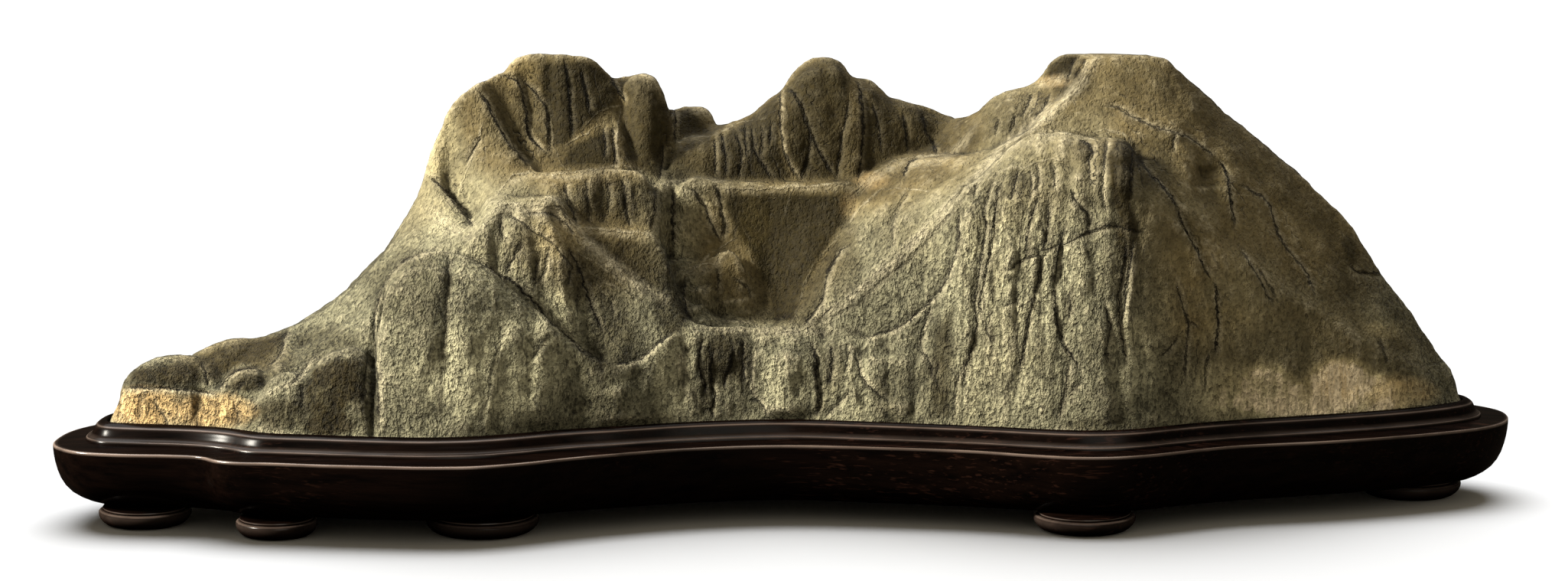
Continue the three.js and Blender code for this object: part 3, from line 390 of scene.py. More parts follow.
    "cliffK": [4, 1, [1417, 499], [1404, 507], [1396, 518]],
    "cliffL": [5, 1.5, [1401, 246], [1404, 260], [1413, 271], [1421, 279], [1424, 290], [1424, 302]],
    "cliffM": [4, 1.2, [1302, 354], [1321, 352], [1335, 340], [1354, 334], [1382, 321], [1393, 320],
        [1404, 313], [1421, 304], [1432, 302], [1446, 296], [1460, 295], [1474, 300], [1496, 304]],
    "cliffN": [5, 1.5, [1472, 310], [1472, 332], [1468, 360], [1463, 382], [1463, 410], [1465, 438],
        [1471, 460], [1470, 482]],
    "cliffO": [4, 1.4, [1482, 311], [1478, 338], [1474, 371], [1470, 399], [1467, 427]],
    "cliffP": [5, 1.3, [1443, 390], [1446, 404], [1451, 424], [1451, 438], [1446, 454], [1449, 479]],
    "cliffQ": [4, 1, [1346, 222], [1349, 240], [1346, 262]],
    "cliffR": [4, 1, [1356, 214], [1358, 236], [1355, 252]],
    "cliffS": [4, 1, [1376, 212], [1379, 232], [1376, 250]],
    "cliffT": [4, 1, [1312, 400], [1322, 397], [1330, 390]],
    "cliffU": [4, 1, [1424, 205], [1424, 226], [1427, 246]],
    "cliffV": [5, 1.2, [1262, 470], [1250, 500], [1246, 545]],
    "blockEdge": [5, 1.4, [1477, 180], [1481, 196], [1480, 230], [1477, 260]],
    "blockLeft": [5, 1.2, [1448, 178], [1445, 200], [1442, 228], [1441, 252], [1446, 280]],
    "shoulderPit": [7, 1.5, [1412, 184], [1424, 188], [1429, 200], [1421, 212]],
    # notch and sub-peak of the right mountain
    "notchA": [4, 1, [1407, 74], [1401, 86], [1397, 100], [1394, 110]],
    "notchB": [4, 1, [1420, 76], [1412, 92], [1406, 101]],
    "subPeakA": [5, 1.2, [1373, 121], [1368, 133], [1362, 144], [1351, 156]],
    "subPeakB": [4, 1.1, [1327, 149], [1325, 161], [1319, 175]],
    "subPeakC": [5, 0.9, [1305, 155], [1301, 178]],
    "subPeakD": [5, 1, [1350, 122], [1342, 140], [1334, 156]],
    # right slope
    "slopeCrack": [4, 0.9, [1440, 139], [1462, 140], [1470, 146], [1482, 154], [1501, 162], [1518, 169],
        [1534, 172], [1550, 178], [1565, 187], [1580, 198], [1593, 209]],
    "slopeFall": [6, 1.6, [1593, 209], [1601, 220], [1607, 239], [1608, 257], [1611, 277], [1614, 294]],
    "slopeNick": [5, 1, [1538, 173], [1534, 183], [1533, 197]],
    "faceA": [6, 1.7, [1490, 205], [1502, 227], [1518, 240], [1529, 254], [1541, 273]],
    "faceB": [9, 2.2, [1538, 270], [1544, 287], [1553, 306], [1566, 330], [1574, 350], [1586, 366]],
    "faceC": [7, 1.6, [1586, 366], [1591, 384], [1591, 410], [1593, 427], [1588, 466]],
    "faceD": [4, 1.1, [1538, 366], [1541, 382], [1548, 407], [1554, 424], [1552, 443], [1550, 466],
        [1549, 500]],
    "faceE": [4, 0.8, [1554, 422], [1568, 429]],
    "faceF": [4, 0.8, [1541, 440], [1529, 454], [1518, 466]],
    "faceG": [4, 0.9, [1579, 460], [1577, 482], [1574, 512]],
    "rightA": [4, 1.1, [1618, 239], [1633, 248], [1651, 257], [1659, 268], [1665, 286], [1670, 304],
        [1680, 321], [1692, 336], [1706, 353], [1715, 374], [1720, 389]],
    "rightB": [4, 1.1, [1621, 324], [1633, 342], [1645, 362], [1656, 383], [1664, 399]],
    "rightC": [4, 0.7, [1645, 348], [1657, 369], [1668, 389]],
    "rightD": [4, 1.1, [1765, 348], [1774, 355], [1789, 357], [1806, 359]],
    "rightE": [4, 0.7, [1803, 440], [1809, 458], [1815, 476]],
}

# Narrow raised ribs, written the same way, with a height for a depth.
ribs = {
    "boulderLip": [4, 0.3, [485, 474], [482, 486], [482, 505], [479, 521], [474, 530], [462, 533]],
    "apronLip": [6, 0.7, [323, 542], [331, 531], [341, 523], [354, 513], [367, 505], [383, 501], [395, 489],
        [401, 478], [412, 470], [425, 464], [440, 459], [456, 455], [470, 457]],
    "domeCleftRib": [5, 0.5, [576, 495], [574, 515], [574, 540], [577, 564]],
    "domeLip": [6, 0.7, [499, 400], [497, 430], [498, 470], [501, 520], [503, 566]],
    "lobeRib": [5, 0.5, [647, 364], [646, 402], [652, 421]],
    "lobeEdge": [5, 0.5, [663, 436], [658, 452], [652, 470], [646, 500], [640, 530], [634, 566]],
    "gullyRib": [5, 0.6, [770, 366], [773, 382], [781, 402], [789, 424]],
    "crestLine": [5, 0.7, [745, 316], [760, 335], [774, 341], [790, 352], [799, 359], [812, 370], [823, 379],
        [838, 388], [855, 393], [872, 396]],
    "crestLow": [5, 0.5, [760, 350], [790, 368], [815, 380], [840, 396]],
    "pyramidRibA": [6, 0.7, [652, 300], [648, 325], [652, 345]],
    "pyramidRibB": [6, 0.7, [680, 322], [680, 345], [686, 365]],
    "pyramidRibC": [6, 0.7, [732, 340], [730, 365], [740, 395], [752, 425]],
    "pyramidLip": [5, 0.7, [645, 272], [655, 267], [670, 267], [690, 269], [710, 269], [725, 271],
        [735, 275], [745, 288], [757, 302]],
    "curlLip": [5, 0.4, [724, 446], [708, 464], [694, 478]],
    "shelfRib": [4, 0.5, [820, 232], [823, 250], [826, 272]],
    "shelfLip": [4, 0.5, [755, 297], [790, 299], [820, 302], [845, 306], [858, 314]],
    "peakRib": [4, 0.5, [719, 140], [721, 160], [723, 185], [729, 205], [738, 220]],
    "buttressRib": [6, 0.5, [632, 160], [625, 182], [617, 205], [606, 235], [598, 262]],
    "middleEdge": [4, 0.5, [808, 165], [807, 180], [807, 200], [808, 214]],
    "centreRib": [4, 0.5, [1023, 113], [1025, 124], [1027, 139], [1029, 158]],
    "basinRib": [4, 0.4, [1033, 250], [1033, 261], [1029, 274], [1027, 280]],
    "basinSwell": [10, 0.4, [972, 298], [980, 312], [981, 331], [986, 345]],
    "stripLip": [5, 0.5, [1027, 428], [1040, 414], [1043, 398], [1048, 382], [1053, 366], [1062, 350],
        [1072, 334], [1083, 325], [1094, 312], [1101, 300]],
    "wallRibA": [7, 0.7, [890, 440], [889, 455], [893, 470], [889, 485], [892, 497], [902, 508], [906, 524],
        [914, 540], [920, 552]],
    "wallRibB": [4, 0.5, [1067, 455], [1075, 471], [1081, 485], [1079, 504], [1075, 515]],
    "wallRibC": [4, 0.4, [1113, 452], [1114, 470], [1112, 490]],
    "cliffRibA": [4, 0.5, [1307, 351], [1295, 382], [1287, 410], [1285, 438], [1290, 463], [1296, 493],
        [1299, 522]],
    "cliffRibB": [5, 0.5, [1332, 377], [1331, 424], [1327, 452], [1324, 479], [1314, 510], [1313, 542]],
    "cliffRibC": [4, 0.5, [1374, 382], [1375, 396], [1378, 420]],
    "cliffRibD": [4, 0.5, [1486, 316], [1486, 343], [1481, 371], [1477, 399], [1473, 432]],
    "cliffRibE": [4, 0.5, [1268, 360], [1266, 396], [1268, 430]],
    "cliffRibF": [4, 0.5, [1354, 496], [1361, 516], [1362, 549]],
    "cliffRibG": [5, 0.5, [1312, 268], [1310, 290], [1304, 330]],
    "cliffRibH": [4, 0.5, [1336, 270], [1334, 300], [1330, 340]],
    "cliffRibI": [4, 0.5, [1380, 268], [1378, 300], [1372, 335]],
    "subPeakRib": [4, 0.5, [1358, 125], [1351, 142], [1344, 158]],
    "blockLip": [4, 0.5, [1432, 172], [1446, 169], [1460, 173], [1472, 176], [1476, 184]],
}

# Thin bright lips that the material alone draws as painted highlights along ledges and crests: strength, way.
lips = {
    "areteTop": [1.4, [1436, 74], [1429, 80], [1420, 94], [1409, 110], [1395, 122], [1379, 133], [1359, 150],
        [1345, 161], [1332, 175], [1320, 183], [1304, 200], [1290, 214], [1264, 240], [1240, 263],
        [1224, 282], [1208, 298], [1191, 315], [1175, 325], [1159, 342], [1145, 358], [1132, 369],
        [1118, 382], [1100, 393], [1083, 404], [1064, 419], [1048, 431]],
    "areteLow": [0.8, [1434, 76], [1418, 104], [1401, 125], [1384, 136], [1368, 153], [1348, 169],
        [1334, 180], [1318, 192], [1298, 214], [1240, 278], [1216, 305], [1189, 332], [1162, 356],
        [1140, 376], [1121, 393]],
    "shoulderTop": [0.8, [1321, 190], [1335, 178], [1354, 171], [1377, 171], [1399, 175], [1415, 179],
        [1429, 181], [1432, 188], [1431, 199]],
    "shoulderFoot": [0.8, [1301, 227], [1324, 218], [1343, 220], [1349, 213], [1363, 211], [1377, 207],
        [1388, 211], [1399, 209]],
    "blockTop": [0.6, [1440, 177], [1454, 172], [1468, 175], [1477, 182], [1479, 193], [1485, 200]],
    "upperShelfLip": [1, [645, 262], [655, 247], [670, 230], [690, 225], [712, 229], [740, 227], [760, 224],
        [780, 220], [800, 217], [820, 217], [835, 221], [845, 226], [856, 240]],
    "lowerShelfLip": [1, [755, 298], [790, 300], [820, 303], [852, 308], [866, 325]],
    "pyramidBand": [1.2, [645, 270], [670, 266], [710, 268], [735, 273], [748, 290], [760, 310]],
    "basinLipLeft": [0.9, [855, 245], [860, 241], [875, 238], [891, 236], [907, 232], [921, 233], [932, 237],
        [951, 236]],
    "basinLip": [1, [940, 244], [948, 246], [975, 247], [991, 248], [1002, 246], [1029, 245], [1056, 244],
        [1078, 242], [1097, 240], [1121, 240]],
    "wallLip": [1.2, [902, 433], [910, 428], [932, 425], [953, 427], [964, 433], [980, 435], [1029, 435],
        [1078, 436], [1121, 436]],
    "basinFootLip": [0.9, [908, 419], [935, 416], [953, 420], [980, 421], [991, 428], [1002, 432],
        [1018, 429], [1024, 428], [1040, 432], [1048, 431], [1064, 424]],
    "lumpCrest": [0.9, [883, 355], [894, 359], [902, 355], [910, 350], [920, 344], [929, 344], [936, 348],
        [940, 355]],
    "lumpFace": [0.9, [918, 342], [932, 329], [943, 323], [953, 316], [959, 312]],
    "centreStep": [0.7, [867, 187], [888, 187], [896, 180], [910, 178], [927, 179], [935, 176]],
    "centreCrestLow": [0.7, [935, 178], [949, 169], [963, 161], [979, 158], [999, 155], [1011, 146],
        [1018, 139]],
    "ledgeLip": [0.9, [1110, 255], [1127, 242], [1140, 228], [1154, 219], [1171, 208], [1199, 205],
        [1229, 203], [1240, 200], [1252, 189], [1260, 180], [1268, 167], [1280, 150]],
    "ledgeFoot": [0.7, [1105, 300], [1121, 274], [1137, 260], [1153, 247], [1178, 246], [1224, 250]],
    "middleRibTop": [0.9, [740, 190], [752, 182], [765, 175], [785, 163]],
    "middleRibBack": [0.9, [765, 165], [780, 148], [800, 140], [815, 138]],
    "middleRibEdge": [0.9, [812, 140], [808, 165], [806, 200]],
    "notchLedge": [1.1, [1352, 112], [1364, 106], [1380, 102], [1394, 104], [1402, 98]],
    "foothillCrest": [0.7, [354, 505], [362, 500], [380, 500], [390, 487], [398, 476], [409, 471],
        [425, 464], [440, 459], [456, 455], [477, 460]],
    "buttressLip": [0.8, [560, 232], [574, 243], [584, 254], [597, 271], [610, 286]],
    "domeTop": [0.7, [520, 349], [540, 340], [560, 332], [580, 329], [600, 328]],
}

# Soft bands of painted highlight along crests and ledges: half width, amount, way.
bands = {
    "arete": [12, 1, [1434, 77], [1414, 108], [1396, 126], [1366, 152], [1338, 174], [1314, 193],
        [1294, 214], [1264, 246], [1232, 280], [1200, 312], [1162, 348], [1130, 378], [1095, 405],
        [1056, 429]],
    "upperShelf": [6, 0.5, [650, 262], [664, 240], [690, 230], [740, 232], [800, 222], [838, 226]],
    "lowerShelf": [6, 0.5, [760, 300], [800, 304], [850, 312]],
    "pyramidTop": [12, 0.9, [640, 285], [652, 274], [690, 273], [728, 280], [748, 298], [772, 322],
        [810, 352], [850, 384], [876, 392]],
    "frontLip": [9, 0.7, [905, 430], [940, 428], [980, 432], [1030, 433], [1080, 434], [1120, 432]],
    "basinLip": [4, 0.5, [862, 244], [910, 238], [948, 246], [1010, 249], [1080, 246], [1120, 246]],
    "tanLedge": [9, 0.4, [1112, 256], [1140, 234], [1172, 216], [1230, 210], [1258, 190], [1276, 162]],
    "lumpCrest": [10, 0.6, [888, 362], [912, 352], [934, 350], [950, 325]],
    "wallCleft": [14, 0.7, [893, 440], [892, 470], [896, 500], [912, 530]],
    "cliffFoot": [10, 0.4, [1292, 420], [1300, 480], [1306, 530]],
    "cliffRib": [9, 0.6, [1328, 400], [1322, 470], [1312, 540]],
    "shoulder": [12, 0.5, [1330, 190], [1370, 178], [1420, 184]],
    "foothills": [8, 0.6, [330, 530], [352, 512], [384, 500], [404, 476], [440, 461], [470, 459]],
    "lowButtress": [16, 0.5, [560, 270], [590, 300], [640, 315]],
    "notchFoot": [8, 0.7, [1354, 112], [1380, 106], [1402, 100]],
}

# Height by which the side of a crack on the right hand of its way stands proud, or minus for the left.
steps = {
    "bandCrease": 1.8, "hollowCrease": 1.2, "lumpCrease": 1, "slopeCrease": -1.5, "boulderSide": 0.9,
    "domeEdge": -1.2, "domeCleft": 0.3, "lobeCleft": 0.2, "domeRear": 1.4, "gullyD": 0.8, "pyramidFoot": 1.5,
    "shelfCorner": 1.2, "buttressEdge": 1.4, "lowButtressEdge": 1.8, "buttressCrack": 0.8, "peakCrackA": 1.5,
    "peakCrackB": 1, "summitA": 0.8, "summitB": 0.6, "summitEdge": 1.6, "knobCrack": 1.8, "ribCrackA": -0.8,
    "ribCrackB": -0.8, "centreA": -0.8, "centreB": 0.9, "centreC": 0.6, "centreD": 0.6, "centreE": 1.2,
    "fluteA": 0.6, "fluteB": 0.5, "fluteC": 0.5, "fluteE": 0.5, "ridgeA": 0.8, "ridgeB": 0.8,
    "basinCorner": 1.4, "basinA": 0.8, "basinB": 0.8, "basinC": 0.6, "lumpA": -1, "lumpB": 0.6,
    "stripCrack": 1.2, "crestCrack": -0.5, "wallCrease": 1.5, "wallA": 1, "wallB": 0.8, "wallC": 0.8,
    "wallD": -0.8, "wallE": -1, "wallF": 1.5, "wallG": 0.8, "wallH": -0.6, "wallI": -1, "wallK": 1,
    "wallL": 0.8, "wallM": 0.6, "cliffA": 0.6, "cliffB": 1, "cliffC": 0.8, "cliffD": 0.5, "cliffF": 1,
    "cliffG": 1, "cliffH": 1, "cliffI": 0.6, "cliffJ": 0.8, "cliffL": 1, "cliffM": -0.6, "cliffN": 1,
    "cliffO": -1, "cliffP": 0.8, "blockEdge": 1.5, "blockLeft": -1, "slopeCrack": 0.7, "slopeFall": 1.5,
    "faceA": 1.5, "faceB": 1.8, "faceC": 1.4, "faceD": 0.8, "faceG": 0.6, "rightA": 0.8, "rightB": 0.8,
    "rightD": -0.8,
}

# Broad lobes between the cracks, and hollows with a height below zero: half width, height, way.
swells = {
    "domeLobe": [56, 1, [533, 352], [531, 420], [533, 560]],
    "secondLobe": [44, 0.5, [612, 356], [612, 420], [604, 560]],
    "thirdLobe": [50, 1.2, [692, 415], [700, 480], [700, 560]],
    "fourthLobe": [48, 1.8, [800, 500], [812, 560]],
    "wallBlock": [38, 2.6, [1025, 452], [1025, 548]],
    "wallRightBlock": [40, 2.2, [1165, 460], [1170, 545]],
    "pillarLeft": [26, 0.9, [1322, 285], [1312, 400], [1300, 545]],
    "pillarMiddle": [24, 0.9, [1405, 335], [1428, 420], [1440, 545]],
    "pillarFoot": [30, 1, [1368, 435], [1350, 545]],
    "lumpLobe": [24, 2.6, [916, 372], [920, 412]],
    "lumpRight": [24, 2, [962, 388], [966, 416]],
    "shelfLobe": [40, 2, [700, 250], [790, 250]],
    "ovalHollow": [26, -1.6, [1580, 214], [1580, 245]],
    "blockLobe": [18, 1.6, [1462, 192], [1462, 250]],
    "shoulderLobe": [26, 2, [1350, 192], [1400, 195]],
}

# Strength of the upright fluting where it is seen in the photograph: centre, radii, amount.
fluting = [
    [1330, 380, 110, 180, 0.8], [1110, 490, 150, 60, 0.45], [930, 480, 60, 70, 0.6],
    [1000, 205, 60, 40, 0.25], [800, 260, 80, 40, 0.5], [720, 350, 70, 70, 0.4], [1190, 165, 70, 40, 0.12],
    [900, 290, 40, 50, 0.3], [1340, 150, 60, 40, 0.3], [1390, 90, 40, 20, 0.25], [1545, 420, 60, 130, 0.1],
    [1700, 500, 160, 60, 0.12], [1180, 400, 70, 60, 0.2], [1240, 500, 60, 60, 0.6],
]

# Sizes of the stone and of the skin stretched over its ridges, in millimetres.
stone = {
    "bottom": 25.6,  # flat underside
    "rimHeight": 29.4,  # where it comes out of the stand
    "frontEnd": 207,  # how far to the right the front of its foot runs
    "cell": 0.6,  # cell of the height map
    "startHeight": 70.0,  # height at which the skin starts out
    "passes": [(4, 400), (2, 250), (1, 250)],  # cells to a step, sweeps
    "facePressure": 0.05,  # how far faces swell between two ridges
    "overshoot": 1.85,  # makes the skin settle sooner
    "lowestGroove": 0.4,  # height over the rim that grooves leave
    "steepest": 5,  # limit on how much deeper a groove is on a steep face
    "softTurns": 3,
    "softShare": 0.6,
    "rimSamples": 3000,
    "skinSamples": 150,
    "voxel": 0.62,  # grain of the remeshed solid
    "triangles": 196000,
}


# A closed curve through plan points, with evenly spaced samples.
def closedLine(points, count, stretchSteps=24):
    p = np.array(points, float)
    before, after, next2 = np.roll(p, 1, 0), np.roll(p, -1, 0), np.roll(p, -2, 0)
    d0 = np.linalg.norm(p - before, axis=1, keepdims=True) ** 0.5
    d1 = np.linalg.norm(after - p, axis=1, keepdims=True) ** 0.5
    d2 = np.linalg.norm(next2 - after, axis=1, keepdims=True) ** 0.5
    t1 = ((p - before) / d0 - (after - before) / (d0 + d1) + (after - p) / d1) * d1
    t2 = ((after - p) / d1 - (next2 - p) / (d1 + d2) + (next2 - after) / d2) * d1
    t = np.linspace(0, 1, stretchSteps, endpoint=False)[None, :, None]
    p, after, t1, t2 = (a[:, None, :] for a in (p, after, t1, t2))
    curve = p + t1 * t + (3 * (after - p) - 2 * t1 - t2) * t ** 2 + (2 * (p - after) + t1 + t2) * t ** 3
    curve = curve.reshape(-1, 2)
    loop = np.vstack([curve, curve[:1]])
    length = np.concatenate([[0], np.cumsum(np.linalg.norm(np.diff(loop, axis=0), axis=1))])
    at = np.linspace(0, length[-1], count, endpoint=False)
    return np.column_stack([np.interp(at, length, loop[:, 0]), np.interp(at, length, loop[:, 1])])


def insideLine(line, x, y):
    inside = np.zeros(x.shape, bool)
    for (xi, yi), (xj, yj) in zip(line, np.roll(line, 1, 0)):
        if yi == yj:
            continue
        inside ^= ((yi > y) != (yj > y)) & (x < (xj - xi) * (y - yi) / (yj - yi) + xi)
    return inside


# Distance of points to an open line, how far along it the nearest place is (0 to 1), and its side.
def distanceToLine(line, x, y):
    best = np.full(x.shape, 1e9)
    along, hand = np.zeros(x.shape), np.zeros(x.shape)
    line = np.array(line, float)
    lengths = np.linalg.norm(np.diff(line, axis=0), axis=1)
    done = 0.0
    for a, b, length in zip(line[:-1], line[1:], lengths):
        d = b - a
        t = np.clip(((x - a[0]) * d[0] + (y - a[1]) * d[1]) / (length * length + 1e-12), 0, 1)
        far = np.hypot(x - a[0] - t * d[0], y - a[1] - t * d[1])
        near = far < best
        best = np.where(near, far, best)
        along = np.where(near, (done + t * length) / lengths.sum(), along)
        hand = np.where(near, np.sign((y - a[1]) * d[0] - (x - a[0]) * d[1]), hand)
        done += length
    return best, along, hand


# Lines between a lower and an upper one that give their face its swelling.
def swellingLines():
    right = next(i for i, p in enumerate(stoneLine) if p[0] > stone["frontEnd"])
    foot = [[x, y, stone["rimHeight"]] for x, y in stoneLine[:right]]
    lines = []
    for low, high in swollenFaces:
        lower = np.array(foot if low == "foot" else ridges[low], float)
        lower = lower[np.argsort(lower[:, 0])]
        upper = [p for p in ridges[high] if lower[0, 0] <= p[0] <= lower[-1, 0]]
        for across, up in swellShape:
            line = []
            for x, y, z in upper:
                footY, footZ = (np.interp(x, lower[:, 0], lower[:, k]) for k in (1, 2))
                line.append([x, footY + (y - footY) * across, footZ + (z - footZ) * up])
            lines.append(line)
    return lines


# The stone as heights over the plan: a skin held at the rim and over every ridge line.
def stretchSkin(rim, cell, sweeps, coarse):
    margin, step = 3 * cell, 0.5 * cell
    low = rim.min(0) - margin
    count = np.ceil((rim.max(0) + margin - low) / cell).astype(int) + 1
    gridX, gridY = np.meshgrid(low[0] + cell * np.arange(count[0]), low[1] + cell * np.arange(count[1]))
    inside = insideLine(rim, gridX, gridY)
    start = sampleGrid(coarse, gridX, gridY) if coarse else stone["startHeight"]
    height = np.where(inside, start, stone["rimHeight"])
    free = inside.astype(float)
    for line in swellingLines() + list(ridges.values()):
        for a, b in zip(np.array(line, float)[:-1], np.array(line, float)[1:]):
            t = np.linspace(0, 1, int(np.hypot(*(b - a)[:2]) / step) + 2)
            p = a + (b - a) * t[:, None]
            i = np.round((p[:, 0] - low[0]) / cell).astype(int)
            j = np.round((p[:, 1] - low[1]) / cell).astype(int)
            keep = inside[j, i]
            height[j[keep], i[keep]] = p[keep, 2]
            free[j[keep], i[keep]] = 0
    relax(height, free, cell, sweeps)
    return {"low": low, "cell": cell, "x": gridX, "y": gridY, "height": height, "inside": inside}


def neighbourMean(grid):
    return 0.25 * (grid[:-2, 1:-1] + grid[2:, 1:-1] + grid[1:-1, :-2] + grid[1:-1, 2:])


# Every free cell settles at the mean of its neighbours, raised a little by the pressure.
def relax(height, free, cell, sweeps):
    lift = 0.25 * stone["facePressure"] * cell * cell
    rows, columns = np.indices(height.shape)
    turns = [stone["overshoot"] * (free * ((rows + columns) % 2 == k))[1:-1, 1:-1] for k in (0, 1)]
    middle = height[1:-1, 1:-1]
    for sweep in range(sweeps):
        for turn in turns:
            middle += turn * (neighbourMean(height) + lift - middle)


def sampleGrid(relief, x, y):
    grid = relief["height"]
    u = np.clip((x - relief["low"][0]) / relief["cell"], 0, grid.shape[1] - 1.001)
    v = np.clip((y - relief["low"][1]) / relief["cell"], 0, grid.shape[0] - 1.001)
    i, j = u.astype(int), v.astype(int)
    a, b = u - i, v - j
    front = (1 - a) * grid[j, i] + a * grid[j, i + 1]
    back = (1 - a) * grid[j + 1, i] + a * grid[j + 1, i + 1]
    return (1 - b) * front + b * back


def addBoulders(relief):
    height = relief["height"]
    for cx, cy, top, rx, ry, rz, fullness in boulders:
        far = np.hypot((relief["x"] - cx) / rx, (relief["y"] - cy) / ry)
        cap = top - rz + rz * np.sqrt(np.clip(1 - far ** fullness, 0, 1))
        height[:] = np.where((far < 1) & relief["inside"], np.maximum(height, cap), height)


def cutGrooves(relief):
    height = relief["height"]
    slopeY, slopeX = np.gradient(height, relief["cell"])
    lean = np.minimum(stone["steepest"], np.sqrt(1 + slopeX ** 2 + slopeY ** 2))
    for halfWidth, depth, *way in grooves:
        far = distanceToLine(way, relief["x"], relief["y"])[0] / halfWidth
        cut = lean * depth * np.clip(1 - far, 0, 1) ** 2
        lowered = np.maximum(stone["rimHeight"] + stone["lowestGroove"], height - cut)
        height[:] = np.where((far < 1) & relief["inside"], lowered, height)


def soften(relief):
    middle, share = relief["height"][1:-1, 1:-1], stone["softShare"]
    for turn in range(stone["softTurns"]):
        mixed = (1 - share) * middle + share * neighbourMean(relief["height"])
        middle[:] = np.where(relief["inside"][1:-1, 1:-1], mixed, middle)


# A closed block under the height map, its sides snapped onto the rim.
def makeBlock(relief, rim):
    inside = relief["inside"]
    whole = inside[:-1, :-1] & inside[1:, :-1] & inside[:-1, 1:] & inside[1:, 1:]
    number = np.arange(inside.size).reshape(inside.shape)
    quads = np.stack([number[:-1, :-1], number[:-1, 1:], number[1:, 1:], number[1:, :-1]], -1)[whole]
    used, flat = np.unique(quads, return_inverse=True)
    quads = flat.reshape(quads.shape)
    top = np.column_stack([relief[axis].ravel()[used] for axis in ("x", "y", "height")])
    sides = np.concatenate([quads[:, [0, 1]], quads[:, [1, 2]], quads[:, [2, 3]], quads[:, [3, 0]]])
    keys = sides[:, 0].astype(np.int64) * len(used) + sides[:, 1]
    partners = sides[:, 1].astype(np.int64) * len(used) + sides[:, 0]
    border = sides[~np.isin(keys, partners)]
    for k in np.unique(border):
        nearest = rim[np.argmin((rim[:, 0] - top[k, 0]) ** 2 + (rim[:, 1] - top[k, 1]) ** 2)]
        top[k] = (nearest[0], nearest[1], stone["rimHeight"])
    bottom = top.copy()
    bottom[:, 2] = stone["bottom"]
    walls = np.column_stack([border[:, 1], border[:, 0], border[:, 0] + len(used), border[:, 1] + len(used)])
    faces = np.concatenate([quads, quads[:, ::-1] + len(used), walls])
    return np.concatenate([top, bottom]), faces


def meshObject(name, points, faces):
    mesh = bpy.data.meshes.new(name)
    mesh.from_pydata((points * mm).tolist(), [], faces.tolist())
    piece = bpy.data.objects.new(name, mesh)
    bpy.context.scene.collection.objects.link(piece)
    return piece


def makeActive(piece):
    bpy.ops.object.select_all(action="DESELECT")
    piece.select_set(True)
    bpy.context.view_layer.objects.active = piece


def readPoints(piece):
    points = np.empty(len(piece.data.vertices) * 3)
    piece.data.vertices.foreach_get("co", points)
    return points.reshape(-1, 3) / mm


def writePoints(piece, points):
    piece.data.vertices.foreach_set("co", (points * mm).ravel())
    piece.data.update()


def readNormals(piece):
    normals = np.empty(len(piece.data.vertices) * 3)
    piece.data.vertex_normals.foreach_get("vector", normals)
    return normals.reshape(-1, 3)


# Value noise between -1 and 1 at points, the same on every run. Large odd numbers scatter its cells.
def noise(points, size, seed, mixers=(73856093, 19349663, 83492791, 2654435761, 1274126177)):
    q = points / size
    cell = np.floor(q).astype(np.int64)
    f = q - cell
    f = f * f * (3 - 2 * f)
    total = np.zeros(len(points))
    for corner in product((0, 1), repeat=3):
        x, y, z = (cell + corner).T
        h = (x * mixers[0]) ^ (y * mixers[1]) ^ (z * mixers[2]) ^ (seed * mixers[3])
        h = (h ^ (h >> 13)) * mixers[4]
        value = ((h ^ (h >> 16)) & 0xFFFF) / 32767.5 - 1
        weight = np.ones(len(points))
        for axis in range(3):
            weight = weight * (f[:, axis] if corner[axis] else 1 - f[:, axis])
        total += weight * value
    return total


# Every vertex with its neighbours along the edges.
def neighbourPairs(piece):
    edges = np.empty(len(piece.data.edges) * 2, np.int32)
    piece.data.edges.foreach_get("vertices", edges)
    a, b = edges.reshape(-1, 2).T
    count = len(piece.data.vertices)
    start, end = np.concatenate([a, b]), np.concatenate([b, a])
    return start, end, np.maximum(1, np.bincount(start, minlength=count))


def smoothed(values, pairs, times, share=0.5):
    start, end, degree = pairs
    columns = values.astype(float).reshape(len(degree), -1).T
    for turn in range(times):
        means = [np.bincount(start, column[end], len(degree)) / degree for column in columns]
        columns = np.array([column + share * (mean - column) for column, mean in zip(columns, means)])
    return columns.T.reshape(values.shape)


